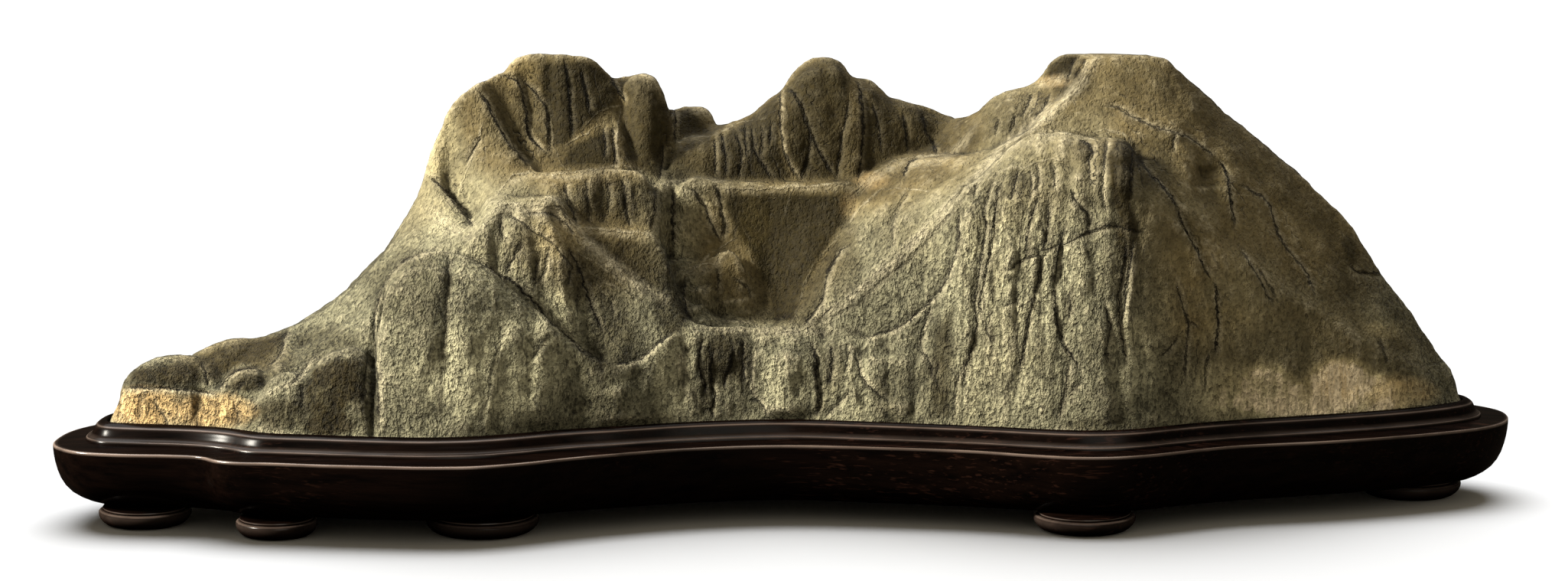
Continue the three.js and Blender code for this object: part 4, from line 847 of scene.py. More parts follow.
# Wear that carves the plain block: sizes and depths in millimetres.
carving = {
    "sightCell": 4,  # pixels of the photograph that share one nearest depth
    "sightSlack": 5.0,  # depth behind the nearest vertex that still counts as seen
    "sightFade": 2.0,  # further depth over which that ends
    "facingFade": 0.12,  # how far towards the camera a face has to turn to count in full
    "lumpSize": 15.0, "lumpHeight": 0.55,
    "knollSize": 6.5, "knollHeight": 0.4,
    "fluteSize": 3.8, "fluteDepth": 1.0,
    "hiddenFluting": 0.7,  # strength of the fluting on the far side
    "hiddenFurrows": 0.6,  # the same for the material
    # painted shade laid over the side hidden from the camera
    "hiddenShade": 0.35,
    "chipSize": 3.4, "chipDepth": 0.22, "chipStretch": 0.5,
    "pitSize": 1.7, "pitDepth": 0.16,
    "drawnShare": 0.25,  # share of a crack's or rib's depth that is carved, the material shows the rest
    "stepShare": 0.7,
    "cutPower": 1.6,  # how sharply a drawn line falls off to its sides
    "cutEnds": (0.35, 4),  # strength at both ends of a line, and its growth along it
    "stepEnds": (0, 5),
    "lineEnds": (0.15, 8),
    "lineStrength": (0.35, 0.45),  # of a line without depth, and what a millimetre adds
    "lineFade": 3,
    "steepness": 1.25,
    "footGap": 0.6,  # height over the rim that stays uncarved
    "footFade": 3,  # height over which carving sets in above it
    "topGap": 0.1,  # room left under the top of the solid
    "topKnee": 2,  # height under the top over which summits are eased in
    "lineReach": 18,  # pixels beside a fine line over which its distance is kept
    "stepReach": 30,  # pixels over which the proud side of a crack falls away
    "fieldFade": (2.2, 1.9),  # of a soft field: height in its middle, cut off at 1, and fall to its radius
    "lightSlope": 0.35,  # fall of a line in the picture that the light runs along
    "faceEdge": 7,  # pixels over which the edge of a face in painted shade fades
    "edgeStart": 0.06,  # fine rise at which an edge begins to look worn and lit, wear with a painted highlight
    "fineRise": 0.3,  # fine and broad rises and falls at which it is worn and lit, or hollow and darkened with patina and painted shade, in full
    "broadRise": 3.5,
    "broadFall": 2.5,
    "warmHollow": 0.7,  # how far warm patches lose the darkening of their hollows
}
lineLayers = {"crack": 3, "lip": 2}


# Which vertices the photograph shows: they face it and nothing stands before them.
def shownInPhoto(points, normals):
    px, py, depth = seenFromPhoto(points)
    facing = normals @ photoAxes()[0]
    column, row = ((p // carving["sightCell"]).astype(int) for p in (px, py))
    cells, place = np.unique(column * view["imageSize"][1] + row, return_inverse=True)
    nearest = np.full(len(cells), 1e9)
    np.minimum.at(nearest, place, depth)
    behind = (depth - nearest[place] - carving["sightSlack"]) / carving["sightFade"]
    return px, py, np.clip(1 - behind, 0, 1) * np.clip(facing / carving["facingFade"], 0, 1)


# Vertices near a drawn line: their numbers, share of the reach, share of the way, and which hand they lie on.
def besideLine(way, reach, px, py):
    low, high = np.min(way, axis=0) - reach, np.max(way, axis=0) + reach
    near = np.flatnonzero((px > low[0]) & (px < high[0]) & (py > low[1]) & (py < high[1]))
    far, along, hand = distanceToLine(way, px[near], py[near])
    return near, far / reach, along, hand


# A drawn line grows from its start value at both ends to full strength.
def endFade(along, start, growth):
    return np.minimum(1, start + growth * np.minimum(along, 1 - along))


# Depth that a set of drawn lines gives to the vertices near them.
def drawnDepth(lines, px, py, bluntness):
    total = np.zeros(len(px))
    for halfWidth, depth, *way in lines.values():
        near, far, along, hand = besideLine(way, halfWidth, px, py)
        fall = np.clip(1 - far ** bluntness, 0, 1) ** carving["cutPower"]
        change = depth * endFade(along, *carving["cutEnds"]) * fall
        keep = np.abs(change) > np.abs(total[near])
        total[near] = np.where(keep, change, total[near])
    return total


# One side of a crack stands proud and falls away from it.
def steppedHeight(px, py):
    total = np.zeros(len(px))
    for name, height in steps.items():
        near, far, along, hand = besideLine(cracks[name][2:], carving["stepReach"], px, py)
        proud = abs(height) * endFade(along, *carving["stepEnds"]) * np.clip(1 - far, 0, 1) ** 2
        total[near] = np.maximum(total[near], np.where(hand * height > 0, proud, 0))
    return total


# Share of soft oval fields at the vertices: each is full in its middle and gone a little past its radii.
def fieldShare(fields, px, py):
    total = np.zeros(len(px))
    peak, fall = carving["fieldFade"]
    for cx, cy, rx, ry, amount in fields:
        far = np.hypot((px - cx) / rx, (py - cy) / ry)
        total = np.maximum(total, amount * np.clip(peak - fall * far, 0, 1))
    return total


# Share of the faces in painted shade at the vertices.
def faceShare(faces, px, py):
    total = np.zeros(len(px))
    for amount, *corners in faces.values():
        near, far, along, hand = besideLine([*corners, corners[0]], carving["faceEdge"], px, py)
        inside = insideLine(np.array(corners, float), px[near], py[near])
        depth = np.where(inside, far, -far)
        total[near] = np.maximum(total[near], amount * np.clip(0.5 + 0.5 * depth, 0, 1))
    return total


def addMask(piece, name, values):
    mask = piece.data.attributes.new(name, "FLOAT", "POINT")
    mask.data.foreach_set("value", values.astype(np.float32))


# Plus where the right hand of a way lies towards the light, which comes from the upper left.
def lightHand(way):
    across, down = np.subtract(way[-1], way[0])
    return 1 if down - carving["lightSlope"] * across > 0 else -1


# The material draws the fine lines itself, from the distance to the nearest one and its strength. Lines
# that run close together are kept in different layers.
def addLines(piece, name, lines, px, py, shown):
    reach, layers = carving["lineReach"], lineLayers[name]
    least, gain = carving["lineStrength"]
    for layer in range(layers):
        side, power = np.full(len(px), float(reach)), np.zeros(len(px))
        for depth, *way in lines[layer::layers]:
            near, far, along, hand = besideLine(way, reach, px, py)
            hand = hand * lightHand(way)
            fade = np.clip(carving["lineFade"] * (1 - far), 0, 1) * endFade(along, *carving["lineEnds"])
            strength = fade * min(1, least + gain * depth) * (far < 1)
            closer = (far * reach < np.abs(side[near])) & (strength > 0)
            side[near] = np.where(closer, hand * far * reach, side[near])
            power[near] = np.where(closer, strength, power[near])
        addMask(piece, "%sSide%d" % (name, layer), side)
        addMask(piece, "%sPower%d" % (name, layer), power * shown)


# Shape of the upright furrows: sizes and wavering are shares of their own size.
fluteShape = {
    "waverSize": 3, "waver": 0.5,
    "wideStretch": 0.13, "narrowStretch": 0.2,  # the smaller, the longer they run down
    "narrowSize": 0.5, "narrowShare": 0.45,
    "flankGain": 2.2, "roundness": 0.7,  # how steep and how round their sides are
    "level": 1.1,  # taken off, so that little is added to the stone as a whole
}


# Upright furrows between rounded ribs, wavering a little on their way down.
def flutes(points, size, seed):
    shape, gain, power = fluteShape, fluteShape["flankGain"], fluteShape["roundness"]
    waver = [noise(points, shape["waverSize"] * size, seed + k) for k in (0, 1)] + [np.zeros(len(points))]
    bent = points + shape["waver"] * size * np.column_stack(waver)
    wide = np.abs(noise(bent * (1, 1, shape["wideStretch"]), size, seed + 2))
    narrow = np.abs(noise(bent * (1, 1, shape["narrowStretch"]), shape["narrowSize"] * size, seed + 3))
    wide, narrow = (np.minimum(1, gain * part) ** power for part in (wide, narrow))
    return wide + shape["narrowShare"] * narrow - shape["level"]


def carveStone(piece):
    pairs = neighbourPairs(piece)
    points = smoothed(readPoints(piece), pairs, times=2)
    writePoints(piece, points)
    normals = readNormals(piece)
    px, py, shown = shownInPhoto(points, normals)
    shown = smoothed(shown, pairs, times=2)
    steep = np.clip(carving["steepness"] - carving["steepness"] * np.abs(normals[:, 2]), 0, 1)
    above = np.clip((points[:, 2] - stone["rimHeight"] - carving["footGap"]) / carving["footFade"], 0, 1)
    share = shown * fieldShare(fluting, px, py) + (1 - shown) * carving["hiddenFluting"]
    push = carving["lumpHeight"] * noise(points, carving["lumpSize"], seed=1)
    push += carving["knollHeight"] * noise(points, carving["knollSize"], seed=2)
    push += share * steep * carving["fluteDepth"] * flutes(points, carving["fluteSize"], seed=3)
    cut = carving["drawnShare"] * shown * drawnDepth(cracks, px, py, 1)
    ribHeight = carving["drawnShare"] * drawnDepth(ribs, px, py, 2)
    raised = shown * (ribHeight + carving["stepShare"] * steppedHeight(px, py))
    push += raised - cut + shown * drawnDepth(swells, px, py, 2)
    chips = noise(points * (1, 1, carving["chipStretch"]), carving["chipSize"], seed=11)
    push += carving["chipDepth"] * chips
    push += carving["pitDepth"] * noise(points, carving["pitSize"], seed=9)
    smooth = smoothed(normals, pairs, times=4)
    smooth /= np.linalg.norm(smooth, axis=1, keepdims=True)
    points = points + smooth * (above * push)[:, None]
    points = smoothed(points, pairs, times=1, share=0.3)
    top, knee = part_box("stone")[1][2] / mm - carving["topGap"], carving["topKnee"]
    z = points[:, 2]
    points[:, 2] = np.where(z > top - knee, top - knee + knee * np.tanh((z - top + knee) / knee), z)
    writePoints(piece, points)


# Patches of other colour, of painted light and of painted shade, as the photograph shows them: centre and
# radii in pixels, amount.
tanPatches = [
    [190, 532, 56, 27, 1], [270, 537, 62, 24, 0.9], [1140, 236, 24, 12, 0.15], [1110, 268, 12, 20, 0.08],
    [1376, 106, 24, 8, 0.2], [1752, 500, 28, 26, 0.4], [1830, 515, 50, 24, 0.25],
]
# pale patches: the strong ones are the stone's cream patches, the weak ones painted light that lifts its
# colour
paleAndLitPatches = [
    [1752, 500, 24, 24, 1.8], [1752, 504, 46, 38, 1.25], [1655, 508, 40, 34, 1.2], [1600, 520, 40, 20, 0.6],
    [1705, 525, 90, 26, 1.25], [1625, 526, 16, 14, 1.3], [1795, 518, 44, 32, 1.1], [1812, 430, 24, 12, 0.45],
    [1850, 512, 30, 20, 0.3], [570, 180, 30, 60, 0.45], [590, 260, 50, 50, 0.15], [895, 290, 30, 40, 0.2],
    [680, 92, 24, 26, 0.3], [640, 485, 100, 70, 0.5], [725, 410, 44, 34, 0.35], [1025, 505, 40, 40, 0.3],
    [880, 500, 26, 50, 0.42], [1330, 360, 100, 110, 0.32], [1600, 510, 60, 40, 0.4],
    [1250, 330, 60, 60, 0.1], [570, 290, 20, 20, 0.25], [880, 465, 30, 40, 0.4], [725, 310, 40, 30, 0.3],
    [650, 350, 50, 40, 0.2], [1580, 400, 90, 60, 0.24], [1480, 465, 40, 60, 0.35], [1560, 350, 50, 40, 0.15],
    [1300, 500, 90, 60, 0.26], [1110, 510, 40, 44, 0.26], [720, 465, 50, 50, 0.3], [942, 336, 36, 18, 0.12],
    [986, 296, 22, 44, 0.3], [890, 300, 26, 40, 0.25],
]
# shade patches: painted shade
paintedShadePatches = [
    [1080, 180, 60, 70, 0.8], [1130, 235, 60, 30, 0.7], [800, 262, 60, 38, 0.7], [960, 250, 60, 14, 0.5],
    [800, 440, 40, 60, 0.7], [1418, 196, 18, 18, 0.6], [1330, 240, 14, 24, 0.6], [1570, 115, 40, 60, 0.5],
    [1200, 226, 60, 16, 0.5], [1240, 175, 60, 30, 0.8], [370, 540, 50, 24, 0.8], [1092, 480, 14, 40, 0.6],
    [425, 455, 60, 34, 0.6], [1850, 440, 50, 90, 0.5], [1775, 350, 50, 60, 0.5], [790, 535, 40, 30, 0.4],
    [530, 370, 70, 50, 0.45], [950, 465, 40, 44, 0.85], [880, 400, 30, 50, 0.8], [1440, 480, 30, 80, 0.2],
    [1180, 510, 50, 50, 0.4], [1880, 500, 36, 40, 0.4], [330, 540, 30, 20, 0.4], [480, 540, 20, 30, 0.6],
    [1475, 310, 20, 40, 1], [1475, 206, 26, 26, 1], [425, 520, 40, 44, 0.9], [350, 470, 50, 36, 0.65],
    [1350, 460, 24, 60, 0.2], [725, 120, 70, 60, 0.6], [900, 200, 50, 50, 0.5], [540, 340, 30, 20, 0.4],
    [790, 350, 50, 50, 0.5], [430, 555, 40, 18, 1.2], [780, 556, 110, 16, 0.6], [1175, 556, 40, 14, 0.6],
    [1440, 556, 60, 12, 0.6], [1400, 108, 34, 24, 0.9], [1310, 160, 50, 40, 0.5], [1095, 310, 30, 50, 0.5],
    [770, 205, 60, 26, 0.8], [1500, 110, 60, 40, 0.4], [1100, 350, 30, 50, 0.5], [1502, 215, 36, 42, 0.7],
    [1025, 412, 30, 16, 0.5],
]
warmPatches = [
    [1660, 360, 190, 230, 0.8], [1560, 170, 110, 120, 0.3], [1740, 470, 150, 90, 0.8],
    [300, 460, 90, 40, 0.8], [760, 150, 130, 100, 0.9], [1080, 170, 200, 110, 0.9],
    [1000, 330, 110, 110, 0.9], [1450, 100, 110, 50, 0.1], [780, 330, 110, 70, 0.6], [665, 160, 60, 80, 0.6],
]

# Faces in painted shade, darker than their surroundings up to a clear edge: amount, then their corners in
# pixels.
paintedShadeFaces = {
    "boulderFace": [1, [405, 480], [438, 464], [478, 466], [474, 526], [428, 532], [402, 512]],
    "leftLump": [1, [160, 503], [172, 480], [209, 474], [245, 470], [262, 478], [270, 500], [240, 506],
        [200, 505]],
    "backLump": [1, [250, 470], [290, 450], [340, 440], [376, 432], [368, 455], [350, 474], [310, 480],
        [285, 500], [272, 500], [262, 480]],
    "smallLump": [0.9, [289, 508], [300, 492], [325, 484], [350, 488], [352, 505], [330, 514], [300, 516]],
    "peakValley": [0.4, [640, 112], [662, 104], [680, 120], [686, 150], [692, 180], [716, 204], [730, 222],
        [700, 224], [690, 215], [672, 194], [655, 170], [640, 140]],
    "summitFace": [1.2, [708, 82], [770, 78], [790, 92], [812, 122], [800, 140], [765, 165], [740, 190],
        [722, 195], [716, 150], [706, 125]],
    "secondFace": [0.6, [690, 120], [706, 128], [716, 150], [718, 198], [700, 184], [692, 170]],
    "summitFoot": [1.2, [740, 196], [785, 170], [800, 170], [802, 216], [730, 220]],
    "knobFace": [0.9, [808, 102], [835, 97], [856, 112], [880, 142], [882, 186], [866, 206], [862, 238],
        [846, 226], [820, 217], [812, 214], [812, 140], [818, 134]],
    "farKnobFace": [1, [884, 142], [900, 140], [916, 150], [932, 176], [896, 180], [888, 187], [884, 186]],
    "farKnobFoot": [0.8, [868, 190], [890, 190], [898, 182], [935, 178], [936, 236], [868, 240]],
    "centreFace": [0.95, [1022, 116], [1045, 88], [1078, 72], [1098, 78], [1112, 100], [1108, 150],
        [1095, 217], [1090, 236], [1048, 236], [1030, 211], [1020, 167]],
    "centreLeft": [1.2, [936, 180], [967, 160], [1020, 120], [1020, 200], [1036, 236], [936, 236]],
    "centreRight": [0.9, [1128, 106], [1160, 125], [1205, 137], [1250, 156], [1250, 180], [1225, 202],
        [1185, 206], [1150, 225], [1122, 236], [1128, 169]],
    "shelfFace": [0.8, [756, 304], [858, 316], [868, 326], [876, 360], [880, 388], [850, 382], [800, 342],
        [770, 318]],
    "shelfEnd": [0.8, [872, 300], [890, 350], [884, 400], [890, 428], [874, 434], [866, 400]],
    "basinFace": [1.2, [940, 254], [1000, 252], [1112, 252], [1104, 290], [1080, 326], [1056, 366],
        [1042, 420], [1012, 424], [1006, 385], [986, 340], [958, 296]],
    "basinSlip": [0.75, [1104, 300], [1098, 340], [1080, 366], [1076, 396], [1056, 424], [1040, 428],
        [1050, 376], [1078, 330]],
    "lumpSide": [0.3, [975, 318], [1000, 335], [1008, 375], [1012, 424], [985, 424], [984, 375], [975, 340]],
    "shelfWall": [0.1, [852, 252], [950, 254], [962, 300], [905, 335], [880, 350], [862, 330], [850, 300]],
    "lumpFace": [0.2, [880, 350], [930, 320], [955, 318], [975, 375], [980, 424], [895, 424]],
    "notchFace": [1.3, [1370, 84], [1388, 72], [1412, 72], [1400, 98], [1380, 106], [1366, 104]],
    "blockSide": [1.3, [1446, 200], [1460, 181], [1480, 186], [1482, 300], [1466, 300], [1454, 262]],
    "blockShade": [0.6, [1483, 184], [1497, 190], [1503, 240], [1499, 300], [1483, 290], [1481, 230]],
    "oval": [0.4, [1562, 205], [1580, 196], [1600, 208], [1606, 240], [1600, 270], [1578, 276], [1560, 250]],
    "slopeSpot": [0.9, [1748, 312], [1764, 300], [1778, 320], [1775, 350], [1758, 352]],
    "wallLeft": [0.8, [918, 446], [932, 450], [930, 540], [915, 540], [912, 480]],
    "wallMiddle": [0.5, [1066, 450], [1100, 450], [1104, 500], [1080, 540], [1066, 540]],
    "wallRight": [0.8, [1218, 430], [1244, 405], [1248, 470], [1244, 548], [1212, 548], [1214, 480]],
    "slopeEdge": [0.5, [1570, 100], [1600, 140], [1740, 262], [1870, 440], [1912, 512], [1880, 500],
        [1820, 420], [1700, 290], [1580, 180]],
}


# Masks for the colours: worn edges that also carry painted highlight, hollows darkened with patina and
# painted shade, drawn lines and the patches that the photograph shows, painted light and shade among them.
def stoneMasks(piece):
    pairs = neighbourPairs(piece)
    points, normals = readPoints(piece), readNormals(piece)
    px, py, shown = shownInPhoto(points, normals)
    shown = smoothed(shown, pairs, times=1)
    hidden = 1 - shown
    fine = smoothed(points, pairs, times=3)
    broad = smoothed(fine, pairs, times=30)
    fineRise, broadRise = (((points - mean) * normals).sum(1) for mean in (fine, broad))
    warm = shown * fieldShare(warmPatches, px, py)
    dark = np.maximum(fieldShare(paintedShadePatches, px, py), faceShare(paintedShadeFaces, px, py))
    worn = (fineRise - carving["edgeStart"]) / carving["fineRise"] + broadRise / carving["broadRise"]
    sunk = -fineRise / carving["fineRise"] - broadRise / carving["broadFall"]
    masks = {
        "edge": np.clip(worn, 0, 1),
        "hollow": np.clip(sunk, 0, 1) * (1 - carving["warmHollow"] * warm),
        "tan": shown * fieldShare(tanPatches, px, py),
        "pale": shown * fieldShare(paleAndLitPatches, px, py),
        "band": shown * drawnDepth(bands, px, py, 2),
        # painted shade: the shade patches and faces, and a share of it over the hidden side
        "shade": shown * dark + carving["hiddenShade"] * hidden,
        "warm": warm,
        "fluted": shown * fieldShare(fluting, px, py) + carving["hiddenFurrows"] * hidden,
    }
    for name, values in masks.items():
        addMask(piece, name, values)
    # Crack lines are darkened and flanked by painted shade and highlight; rib and lip lines are lightened as
    # painted highlight.
    addLines(piece, "crack", [line[1:] for line in cracks.values()], px, py, shown)
    addLines(piece, "lip", [line[1:] for line in ribs.values()] + list(lips.values()), px, py, shown)


def makeStone():
    rim = closedLine(stoneLine, stone["skinSamples"])
    relief = None
    for cells, sweeps in stone["passes"]:
        relief = stretchSkin(rim, cells * stone["cell"], sweeps, relief)
    addBoulders(relief)
    cutGrooves(relief)
    soften(relief)
    piece = meshObject("stoneSkin", *makeBlock(relief, closedLine(stoneLine, stone["rimSamples"])))
    makeActive(piece)
    piece.data.remesh_voxel_size = stone["voxel"] * mm
    piece.data.remesh_voxel_adaptivity = 0
    bpy.ops.object.voxel_remesh()
    print("stone block", len(piece.data.vertices), "corners")
    carveStone(piece)
    thin = piece.modifiers.new("thin", "DECIMATE")
    thin.ratio = min(1, stone["triangles"] / (2 * len(piece.data.polygons)))
    bpy.ops.object.modifier_apply(modifier="thin")
    stoneMasks(piece)
    piece.data.shade_smooth()
    print("stone", len(piece.data.polygons), "faces")
    return piece


stonePiece = makeStone()
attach(stonePiece, "root")
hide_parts("stone")

stand = {
    "samples": 520,
    "innerSamples": 2400,
    "innerTurns": 6,  # smoothings of the line from which the profile starts
    "smoothAngle": 50,
    # cross-section: share of the way from the stone to the outer edge, offset, height, wear; the wear
    # lightens the mouldings' lines as wear with a painted highlight and gives them gloss
    "profile": [
        (0, 0.35, 25.2, 0), (0, 0.35, 30.4, 0), (0.01, 0.45, 30.8, 0), (0.04, 0.5, 30.9, 0),
        (0.11, 0.6, 30.5, 0), (0.15, 0.6, 30.1, 0.05), (0.175, 0.6, 29.8, 0.6), (0.195, 0.6, 29.5, 0.05),
        (0.22, 0.5, 29.0, 0), (0.245, 0.4, 28.3, 0), (0.27, 0.35, 27.5, 0), (0.3, 0.25, 26.9, 0.08),
        (0.34, 0.2, 26.5, 0.12), (0.37, 0.15, 26.3, 0.1), (0.385, 0.1, 26.2, 0.6), (0.395, 0.1, 26.0, 0.2),
        (0.4, 0.1, 25.6, 0), (0.405, 0.1, 25.3, 0), (0.45, 0, 25.2, 0), (0.7, 0, 24.9, 0),
        (0.88, 0, 24.75, 0), (0.93, 0, 24.75, 0.1), (0.965, -0.15, 24.7, 1), (0.985, -0.3, 24.5, 1),
        (0.995, -0.45, 24.2, 0.6), (1, -0.5, 23.8, 0), (1, -0.55, 23.0, 0), (0.995, -0.6, 21.4, 0),
        (0.98, -0.7, 19.2, 0), (0.95, -0.8, 16.8, 0), (0.9, -0.8, 14.4, 0), (0.82, -0.8, 12.0, 0),
        (0.71, -0.7, 10.0, 0), (0.57, -0.6, 8.4, 0), (0.42, -0.4, 7.2, 0), (0.26, -0.1, 6.3, 0),
        (0.16, 0, 6.05, 0), (0.1, 0, 6.0, 0),
    ],
}


def makeStand():
    inner = closedLine(stoneLine, stand["innerSamples"])
    outer = closedLine(standLine, stand["samples"])
    gap = np.linalg.norm(outer[:, None, :] - inner[None, :, :], axis=2)
    start = inner[np.argmin(gap, axis=1)]
    for turn in range(stand["innerTurns"]):
        start = 0.5 * start + 0.25 * (np.roll(start, 1, 0) + np.roll(start, -1, 0))
    way = outer - start
    run = np.linalg.norm(way, axis=1, keepdims=True)
    rings = [np.column_stack([start + way * (share + offset / run), np.full(len(outer), z)])
             for share, offset, z, wear in stand["profile"]]
    count = len(outer)
    k = np.arange(count)
    nextK = (k + 1) % count
    faces = [np.column_stack([r * count + k, (r + 1) * count + k, (r + 1) * count + nextK, r * count + nextK])
             for r in range(len(rings) - 1)]
    piece = meshObject("standBody", np.concatenate(rings), np.concatenate(faces))
    makeActive(piece)
    bpy.ops.object.mode_set(mode="EDIT")
    bpy.ops.mesh.select_mode(type="EDGE")
    bpy.ops.mesh.select_all(action="DESELECT")
    bpy.ops.mesh.select_non_manifold()
    bpy.ops.mesh.edge_face_add()
    bpy.ops.mesh.select_all(action="SELECT")
    bpy.ops.mesh.normals_make_consistent(inside=False)
    bpy.ops.object.mode_set(mode="OBJECT")
    bpy.ops.object.shade_smooth_by_angle(angle=radians(stand["smoothAngle"]))
    addMask(piece, "wear", np.repeat([ring[3] for ring in stand["profile"]], count))
    return piece


standPiece = makeStand()
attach(standPiece, "root")
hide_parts("stand")
print("stand", len(standPiece.data.polygons), "faces")

foot = {
    "sides": 72,
    "smoothAngle": 35,
    # outline: share of the widest radius, height in millimetres
    "profile": [
        (0.74, 0.0), (0.8, 0.12), (0.86, 0.5), (0.92, 1.2), (0.965, 2.0), (0.99, 2.8), (1.0, 3.6),
        (0.995, 4.1), (0.97, 4.45), (0.93, 4.6), (0.895, 4.66), (0.885, 4.75), (0.9, 4.9), (0.91, 5.15),
        (0.905, 5.45), (0.88, 5.68),
    ],
    # wear by height lightens the pad's rings as wear with a painted highlight and gives them gloss
    "wearHeights": [0, 1.2, 2.4, 3.4, 4.1, 4.5, 4.66, 4.8, 5.1, 5.4],
    "wear": [0, 0, 0.05, 0.14, 0.1, 0.5, 0, 0, 0.5, 0],
}


def makeFoot(node):
    low, high = (np.array(corner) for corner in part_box(node))
    centre = (low + high) / 2
    radius = (high[0] - low[0]) / 2
    bpy.ops.object.select_all(action="DESELECT")
    bpy.ops.mesh.primitive_circle_add(vertices=foot["sides"], radius=radius, fill_type="NGON",
                                      location=(0, 0, 0))
    piece = bpy.context.object
    piece.name = "pad_" + node
    bpy.ops.object.mode_set(mode="EDIT")
    bpy.ops.mesh.select_all(action="SELECT")
    size, bottom = foot["profile"][0]
    bpy.ops.transform.resize(value=(size, size, 1))
    for share, height in foot["profile"][1:]:
        bpy.ops.mesh.extrude_region_move(TRANSFORM_OT_translate={"value": (0, 0, (height - bottom) * mm)})
        bpy.ops.transform.resize(value=(share / size, share / size, 1))
        size, bottom = share, height
    bpy.ops.mesh.select_all(action="SELECT")
    bpy.ops.mesh.normals_make_consistent(inside=False)
    bpy.ops.transform.translate(value=(centre[0], centre[1], 0))
    bpy.ops.object.mode_set(mode="OBJECT")
    bpy.ops.object.shade_smooth_by_angle(angle=radians(foot["smoothAngle"]))
    heights = readPoints(piece)[:, 2]
    addMask(piece, "wear", np.interp(heights, foot["wearHeights"], foot["wear"]))
    return piece


footPieces = []
for node in [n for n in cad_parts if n.startswith("foot_")]:
    pad = makeFoot(node)
    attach(pad, "root")
    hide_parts(node)
    footPieces.append(pad)
print("feet", len(footPieces))


def newMaterial(name):
    material = bpy.data.materials.new(name)
    material.use_nodes = True
    tree = material.node_tree
    return material, tree, tree.nodes["Principled BSDF"]


# A node with values given to its inputs: a socket is linked, anything else is set.
def addNode(tree, kind, inputs, **settings):
    node = tree.nodes.new(kind)
    for key, value in settings.items():
        setattr(node, key, value)
    for key, value in inputs.items():
        if isinstance(value, bpy.types.NodeSocket):
            tree.links.new(value, node.inputs[key])
        elif isinstance(value, tuple) and len(value) == 3 and node.inputs[key].type == "RGBA":
            node.inputs[key].default_value = (*value, 1)
        else:
            node.inputs[key].default_value = value
    return node


def mixColours(tree, share, first, second):
    node = addNode(tree, "ShaderNodeMix", {0: share, 6: first, 7: second}, data_type="RGBA")
    return node.outputs[2]


# A field taken from one range to another: low, high, then what they turn into.
def remap(tree, value, low, high, toLow=0.0, toHigh=1.0, **settings):
    sockets = {"Value": value, "From Min": low, "From Max": high, "To Min": toLow, "To Max": toHigh}
    return addNode(tree, "ShaderNodeMapRange", sockets, **settings).outputs["Result"]


def calculate(tree, operation, first, second, clamp=True):
    node = addNode(tree, "ShaderNodeMath", {0: first, 1: second}, operation=operation)
    node.use_clamp = clamp
    return node.outputs[0]


# A field as it is, or taken from one range to another.
def taken(tree, field, name, *span):
    return remap(tree, field[name], *span) if span else field[name]


# A colour made brighter or darker by a field.
def toneBy(tree, field, colour, tone):
    node = addNode(tree, "ShaderNodeVectorMath", {0: colour, "Scale": taken(tree, field, *tone)},
                   operation="SCALE")
    return node.outputs["Vector"]


def maskValue(tree, name):
    return addNode(tree, "ShaderNodeAttribute", {}, attribute_name=name).outputs["Fac"]


# Noises and masks that a look names, on the object's own coordinates.
def startFields(tree, look):
    place = addNode(tree, "ShaderNodeTexCoord", {}).outputs["Object"]
    field = {name: maskValue(tree, name) for name in look["masks"]}
    field["height"] = addNode(tree, "ShaderNodeSeparateXYZ", {"Vector": place}).outputs["Z"]
    field["facing"] = addNode(tree, "ShaderNodeLayerWeight", {"Blend": 0.5}).outputs["Facing"]
    for name, (stretch, scale, detail, roughness) in look["noises"].items():
        bent = addNode(tree, "ShaderNodeMapping", {"Vector": place, "Scale": stretch}).outputs["Vector"]
        sockets = {"Vector": bent, "Scale": scale, "Detail": detail, "Roughness": roughness}
        field[name] = addNode(tree, "ShaderNodeTexNoise", sockets).outputs["Fac"]
    return field


# Fields worked out of others, as a look says.
def joinFields(tree, field, look):
    for name, (operation, first, *others) in look["joined"].items():
        total = taken(tree, field, *first)
        for other in others:
            total = calculate(tree, operation, total, taken(tree, field, *other))
        field[name] = total


def addBump(tree, shader, height, distance, strength):
    bump = addNode(tree, "ShaderNodeBump", {"Height": height, "Distance": distance, "Strength": strength})
    tree.links.new(bump.outputs["Normal"], shader.inputs["Normal"])
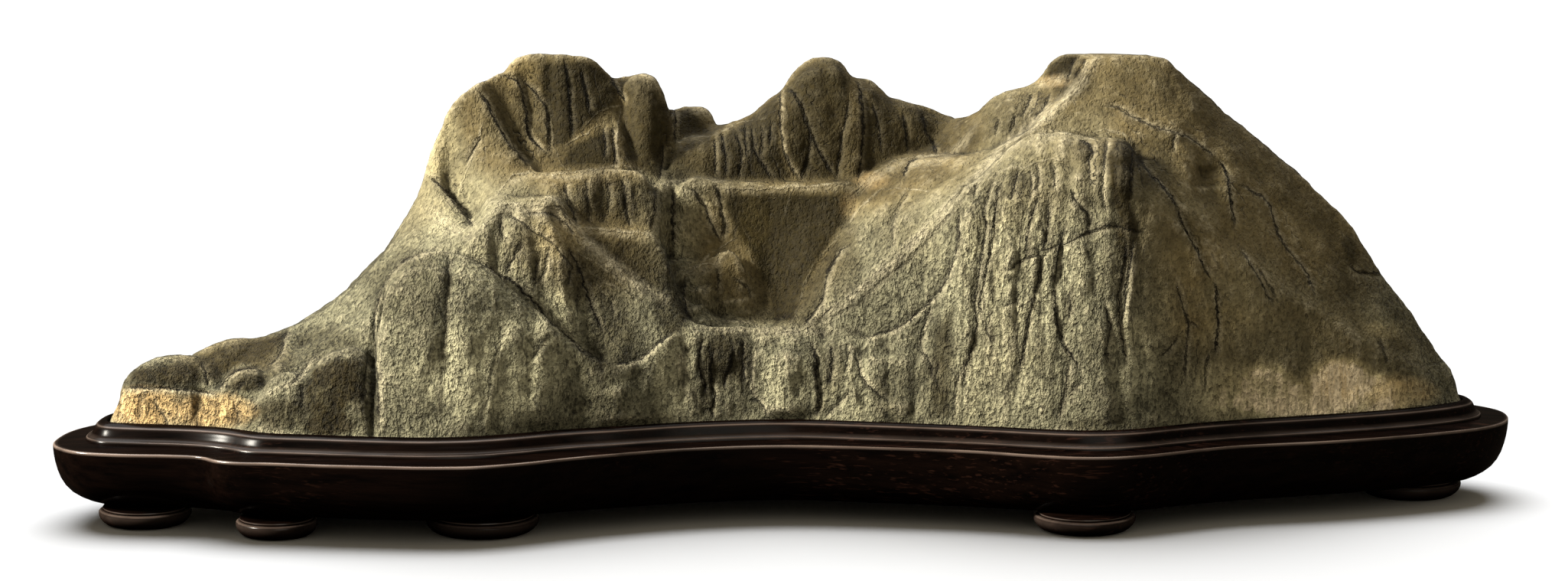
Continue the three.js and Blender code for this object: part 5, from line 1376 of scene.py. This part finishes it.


# Colours are linear. The stone is olive grey with a tan left end. Its cream edges are wear with a painted
# highlight, its dark hollows and cracks patina with painted shade, and much of its shade is painted. A span
# is a field's name, its low and high, and what they turn into where that isn't 0 and 1.
stoneLook = {
    "greyGreen": (0.180, 0.169, 0.106),
    "olive": (0.113, 0.087, 0.039),
    # painted shade
    "shade": (0.022, 0.0165, 0.0052),
    # near black of cracks and hollows, patina with painted shade
    "crack": (0.007, 0.0055, 0.003),
    # cream of worn edges, which also stands for a painted highlight
    "edge": (0.42, 0.37, 0.25),
    "tan": (0.58, 0.39, 0.17),
    "pale": (0.85, 0.70, 0.46),
    "specular": 0.12,
    "roughness": ("grit", 0.3, 0.7, 0.70, 0.92),
    "masks": ["edge", "hollow", "tan", "pale", "band", "shade", "warm", "fluted"],
    # stretch, scale, detail and roughness of each noise
    "noises": {
        "clouds": ((1, 1, 1), 28, 4, 0.6),
        "patches": ((1, 1, 1), 110, 5, 0.65),
        "veins": ((1, 1, 0.4), 230, 4, 0.6),
        "tremble": ((1, 1, 1), 420, 3, 0.7),
        "bark": ((1, 1, 0.6), 430, 5, 0.65),
        "streaks": ((1, 1, 0.12), 520, 4, 0.65),
        "grit": ((1, 1, 0.85), 820, 3, 0.6),
        "specks": ((1, 1, 0.7), 950, 1, 0.5),
    },
    # drawn lines, in pixels of the photograph: how they waver, and from their middle to their edge
    "crackWobble": ("tremble", 0.2, 0.8, -4, 4),
    "crackWidth": ("patches", 0.35, 0.65, 1, 3.2),
    "lipWobble": ("tremble", 0.2, 0.8, 3, -3),
    "lipWidth": ("patches", 0.35, 0.65, 0.8, 4),
    # flanks of the cracks: 1 for the side towards the light and -1 for the other, reach in pixels; the side
    # towards the light takes painted shade, the other a painted highlight, and the far wall only sinks the
    # relief
    "flanks": {"nearFlank": (1, 13), "farFlank": (-1, 8), "farWall": (-1, 10)},
    "flankStart": (-1.5, 1.5),  # pixels from the middle over which they set in
    "flankFade": 1,  # and from which they fade
    # fields worked out of others: how they are joined, then their spans
    "joined": {
        # greyGreen turns olive higher up and in the warm patches; the darkening higher up is partly painted
        # shade
        "body": ("ADD", ("height", 0.070, 0.125, 0, 0.85), ("warm",), ("clouds", 0.35, 0.65, -0.18, 0.18)),
        # painted shade, broken up a little by noise
        "ragged": ("ADD", ("shade",), ("patches", 0.3, 0.7, -0.15, 0.15)),
        "dark": ("MULTIPLY", ("ragged", 0.08, 1)),
        "tanned": ("MULTIPLY", ("tan",), ("patches", 0.3, 0.6, 0.6, 1)),
        "light": ("MULTIPLY", ("pale",), ("patches", 0.35, 0.6, 0.55, 1),
                  ("streaks", 0.35, 0.55, 0.75, 1.05)),
        "cream": ("MULTIPLY", ("light", 0.5, 0.9), ("patches", 0.42, 0.54, 0.4, 1),
                  ("streaks", 0.42, 0.55, 0.6, 1)),
        # worn edges, bands and lips lighten, wear with painted highlight, and less where shade is painted
        "worn": ("MULTIPLY", ("edge",), ("grit", 0.38, 0.62, 0.3, 0.8), ("shade", 0, 0.9, 1, 0.15)),
        "banded": ("MULTIPLY", ("band",), ("bark", 0.38, 0.6, 0.15, 0.7)),
        "lipped": ("MULTIPLY", ("lips",), ("bark", 0.4, 0.6, 0.1, 0.8), ("shade", 0.1, 0.9, 1, 0.2)),
        "bright": ("MAXIMUM", ("worn",), ("banded",), ("lipped",)),
        # rough on the low fronts and in the fluted parts, smooth on the peaks
        "low": ("SUBTRACT", ("height", 0.105, 0.070), ("warm", 0, 1, 0, 0.8)),
        "ribbed": ("MULTIPLY", ("fluted",), ("warm", 0, 1, 1, 0.25)),
        "rough": ("ADD", ("low",), ("ribbed",)),
        "pits": ("MULTIPLY", ("specks", 0.56, 0.66), ("rough", 0, 1, 0.35, 1)),
        # short fissures run where their noise crosses its middle value
        "fissures": ("MULTIPLY", ("veins", 0.45, 0.5), ("veins", 0.55, 0.5), ("bark", 0.42, 0.55),
                     ("rough", 0.1, 0.8)),
        # painted shade on the crack flank towards the light and a painted highlight on the other
        "darkFlank": ("MULTIPLY", ("nearFlank",), ("warm", 0, 1, 1, 0.4)),
        "paintedHighlightFlank": ("MULTIPLY", ("farFlank",), ("grit", 0.35, 0.6, 0.2, 0.6), ("shade", 0, 0.9, 1, 0.2)),
        "sunkFlank": ("MAXIMUM", ("darkFlank",), ("farWall",)),
        # painted shade in the furrows, which also sink the relief
        "furrowShade": ("MULTIPLY", ("streaks", 0.52, 0.38, 0, 0.7), ("fluted",)),
        "furrows": ("MULTIPLY", ("streaks",), ("fluted",)),
        # hollows and drawn cracks darken, patina with painted shade
        "sunk": ("MULTIPLY", ("hollow",), ("grit", 0.3, 0.7, 0.9, 0.5)),
        "deep": ("MAXIMUM", ("sunk",), ("cracks",)),
        "grains": ("MULTIPLY", ("grit", 0.35, 0.65), ("rough", 0, 1, 0.1875, 1)),
        "pores": ("MULTIPLY", ("bark",), ("rough", 0, 1, 0.2, 1)),
    },
    # tones that multiply the colour: deeper painted shade, painted light, grain, pits, fissures, painted
    # shade on the crack flanks, and painted shade where the surface turns edge-on to the camera
    "paintedShadeTone": ("shade", 1, 2, 1, 0.3),
    "paintedLightTone": ("light", 0, 0.5, 1, 2.8),
    "smoothTone": ("grit", 0.3, 0.7, 0.75, 1.25),
    "coarseTone": ("grit", 0.34, 0.6, 0.74, 1.22),
    "barkTone": ("bark", 0.35, 0.65, 0.8, 1.2),
    "pitTone": ("pits", 0, 1, 1.03, 0.62),
    "fissureTone": ("fissures", 0, 1, 1, 0.4),
    "paintedFlankShadeTone": ("darkFlank", 0, 1, 1, 0.55),
    "paintedOutlineShadeTone": ("facing", 0.72, 0.97, 1, 0.35),
    # fine relief in millimetres: those below zero are cut in
    "relief": {"grains": 0.8, "pores": 1.5, "furrows": 1.6, "sunkFlank": -0.9, "pits": -0.5,
               "fissures": -0.6, "lips": 0.35, "cracks": -0.8},
}


# Signed distances to the drawn lines and their strengths, one pair to a layer.
def lineMasks(tree, name):
    return [[maskValue(tree, "%s%s%d" % (name, part, layer)) for part in ("Side", "Power")]
            for layer in range(lineLayers[name])]


# Share of the drawn lines at the surface.
def lineShare(tree, name, wobble, width):
    total = 0.0
    for side, power in lineMasks(tree, name):
        side = calculate(tree, "ADD", side, wobble, clamp=False)
        far = calculate(tree, "ABSOLUTE", side, 0.0, clamp=False)
        line = remap(tree, far, 0.0, width, 1.0, 0.0, interpolation_type="SMOOTHSTEP")
        total = calculate(tree, "MAXIMUM", total, calculate(tree, "MULTIPLY", line, power))
    return total


# Share of one flank of the cracks, which sets in softly at their middle.
def flankShare(tree, flank, wobble, width):
    total = 0.0
    for side, power in lineMasks(tree, "crack"):
        side = calculate(tree, "MULTIPLY", side, flank, clamp=False)
        side = calculate(tree, "ADD", side, wobble, clamp=False)
        begin = remap(tree, side, *stoneLook["flankStart"])
        end = remap(tree, side, stoneLook["flankFade"], width, 1.0, 0.0)
        near = calculate(tree, "MULTIPLY", calculate(tree, "MULTIPLY", begin, end), power)
        total = calculate(tree, "MAXIMUM", total, near)
    return total


# The colour is laid on in turn, each time mixed in by a field or multiplied by a tone.
def stoneColour(tree, field):
    look = stoneLook
    # greyGreen turning olive, partly painted shade higher up
    colour = mixColours(tree, field["body"], look["greyGreen"], look["olive"])
    # painted shade, deepest where its mask passes 1
    colour = mixColours(tree, field["dark"], colour, look["shade"])
    colour = toneBy(tree, field, colour, look["paintedShadeTone"])
    colour = mixColours(tree, field["tanned"], colour, look["tan"])
    # weak pale patches only lift the stone's own colour as painted light, strong ones turn to cream
    colour = toneBy(tree, field, colour, look["paintedLightTone"])
    colour = mixColours(tree, field["cream"], colour, look["pale"])
    # worn edges, bands and lips: wear with painted highlight
    colour = mixColours(tree, field["bright"], colour, look["edge"])
    smooth = toneBy(tree, field, colour, look["smoothTone"])
    coarse = toneBy(tree, field, toneBy(tree, field, colour, look["coarseTone"]), look["barkTone"])
    colour = mixColours(tree, field["rough"], smooth, coarse)
    # pits and fissures darken the grain, and the crack flank towards the light takes painted shade
    for tone in ("pitTone", "fissureTone", "paintedFlankShadeTone"):
        colour = toneBy(tree, field, colour, look[tone])
    # painted highlight on the crack flank away from the light
    colour = mixColours(tree, field["paintedHighlightFlank"], colour, look["edge"])
    # painted shade in the furrows
    colour = mixColours(tree, field["furrowShade"], colour, look["shade"])
    # hollows and cracks near black, patina with painted shade
    colour = mixColours(tree, field["deep"], colour, look["crack"])
    # painted shade where the surface turns edge-on to the camera
    return toneBy(tree, field, colour, look["paintedOutlineShadeTone"])


def stoneMaterial():
    material, tree, shader = newMaterial("weatheredRock")
    look = stoneLook
    field = startFields(tree, look)
    for name in lineLayers:
        wobble, width = (taken(tree, field, *look[name + part]) for part in ("Wobble", "Width"))
        field[name + "s"] = lineShare(tree, name, wobble, width)
    wobble = taken(tree, field, *look["crackWobble"])
    for name, (flank, reach) in look["flanks"].items():
        field[name] = flankShare(tree, flank, wobble, reach)
    joinFields(tree, field, look)
    tree.links.new(stoneColour(tree, field), shader.inputs["Base Color"])
    tree.links.new(taken(tree, field, *look["roughness"]), shader.inputs["Roughness"])
    shader.inputs["Specular IOR Level"].default_value = look["specular"]
    relief = 0.0
    for name, height in look["relief"].items():
        raised = calculate(tree, "MULTIPLY", field[name], height, clamp=False)
        relief = calculate(tree, "ADD", relief, raised, clamp=False)
    addBump(tree, shader, relief, mm, 1.0)
    return material


woodLook = {
    "dark": (0.0009, 0.0005, 0.0004),
    "brown": (0.0038, 0.0018, 0.0012),
    "fleck": (0.014, 0.006, 0.004),
    # worn lines of the mouldings, wear with a painted highlight
    "worn": (0.15, 0.11, 0.09),
    "specular": 0,
    "coatRoughness": 0.24,
    "grainHeight": 0.0002,
    "grainStrength": 0.3,
    "masks": ["wear"],
    "noises": {
        "grain": ((0.06, 1, 1), 330, 5, 0.65),
        "flecks": ((0.10, 1, 1), 1100, 2, 0.6),
        "regions": ((1, 1, 1), 14, 2, 0.6),
        "rubbed": ((0.3, 1, 1), 120, 3, 0.6),
    },
    "joined": {
        "flecked": ("MULTIPLY", ("flecks", 0.58, 0.7), ("regions", 0.5, 0.62)),
        "worn": ("MULTIPLY", ("wear",), ("rubbed", 0.3, 0.6, 0.35, 1)),
    },
    "mixture": ("grain", 0.35, 0.65),
    "roughness": ("grain", 0.3, 0.7, 0.30, 0.46),
    "coat": ("wear", 0, 1, 0.12, 0.9),
}


def woodMaterial():
    material, tree, shader = newMaterial("darkLacqueredWood")
    look = woodLook
    field = startFields(tree, look)
    joinFields(tree, field, look)
    colour = mixColours(tree, taken(tree, field, *look["mixture"]), look["dark"], look["brown"])
    colour = mixColours(tree, field["flecked"], colour, look["fleck"])
    # worn lines, wear with a painted highlight
    colour = mixColours(tree, field["worn"], colour, look["worn"])
    tree.links.new(colour, shader.inputs["Base Color"])
    tree.links.new(taken(tree, field, *look["roughness"]), shader.inputs["Roughness"])
    tree.links.new(taken(tree, field, *look["coat"]), shader.inputs["Coat Weight"])
    shader.inputs["Specular IOR Level"].default_value = look["specular"]
    shader.inputs["Coat Roughness"].default_value = look["coatRoughness"]
    addBump(tree, shader, field["grain"], look["grainHeight"], look["grainStrength"])
    return material


stonePiece.data.materials.append(stoneMaterial())
wood = woodMaterial()
for piece in [standPiece, *footPieces]:
    piece.data.materials.clear()
    piece.data.materials.append(wood)
print("materials")

# Plain pale floor and soft studio light.
studio = {
    "floorSize": 14.0,
    "floorColour": (0.93, 0.945, 0.97),
    "floorReturn": (0.12, 0.10, 0.075),  # how much of the light it throws back onto the object
    "skyStrength": 0.18,
    "skyColour": (1, 0.87, 0.64),
    "keyPower": 255.0,
    "keySize": 0.45,
    "keyPlace": (-2.15, -0.72, 1.4),
    "frontPower": 20.0,
    "frontSize": 1.6,
    "frontPlace": (0.7, -2.5, 0.9),
    "panelColour": (1, 0.95, 0.84),
    "topStrength": 3.5,
    "topColour": (1, 1, 1),
    "topSpread": 56.0,
    "topTurn": (-24.0, -6.0, 0.0),
}


def addLamp(name, kind, power, colour):
    data = bpy.data.lights.new(name, kind)
    data.energy = power
    data.color = colour
    lamp = bpy.data.objects.new(name, data)
    bpy.context.scene.collection.objects.link(lamp)
    return lamp


def addPanel(role):
    lamp = addLamp(role + "Light", "AREA", studio[role + "Power"], studio["panelColour"])
    lamp.data.size = studio[role + "Size"]
    lamp.location = studio[role + "Place"]
    aim = Vector(studio[role + "Place"]) - Vector(view["target"])
    lamp.rotation_euler = aim.to_track_quat("Z", "Y").to_euler()
    return lamp


def addSky():
    top = addLamp("topLight", "SUN", studio["topStrength"], studio["topColour"])
    top.data.angle = radians(studio["topSpread"])
    top.rotation_euler = [radians(turn) for turn in studio["topTurn"]]
    world = bpy.data.worlds.new("studioSky")
    bpy.context.scene.world = world
    world.use_nodes = True
    sky = world.node_tree.nodes["Background"]
    sky.inputs["Color"].default_value = (*studio["skyColour"], 1)
    sky.inputs["Strength"].default_value = studio["skyStrength"]


# The floor is white to the camera and darker to the light that it throws back.
def makeFloor():
    bpy.ops.object.select_all(action="DESELECT")
    bpy.ops.mesh.primitive_plane_add(size=studio["floorSize"], location=(0, 0, 0))
    floor = bpy.context.object
    floor.name = "paleFloor"
    material, tree, shader = newMaterial("paleFloor")
    shader.inputs["Base Color"].default_value = (*studio["floorColour"], 1)
    shader.inputs["Roughness"].default_value = 1.0
    shader.inputs["Specular IOR Level"].default_value = 0.0
    returned = addNode(tree, "ShaderNodeBsdfDiffuse", {"Color": studio["floorReturn"]})
    ray = addNode(tree, "ShaderNodeLightPath", {})
    sockets = {0: ray.outputs["Is Camera Ray"], 1: returned.outputs["BSDF"], 2: shader.outputs["BSDF"]}
    both = addNode(tree, "ShaderNodeMixShader", sockets)
    tree.links.new(both.outputs["Shader"], tree.nodes["Material Output"].inputs["Surface"])
    floor.data.materials.append(material)
    return floor


# Both panels leave the floor alone, so that the soft shadow before the stand stays dark.
def spareFloor(floor, panels):
    spared = bpy.data.collections.new("sparedByPanels")
    spared.objects.link(floor)
    spared.collection_objects[0].light_linking.link_state = "EXCLUDE"
    for panel in panels:
        panel.light_linking.receiver_collection = spared


panels = [addPanel("key"), addPanel("front")]
addSky()
spareFloor(makeFloor(), panels)
bpy.context.scene.view_settings.view_transform = "Standard"
print("lights and floor")
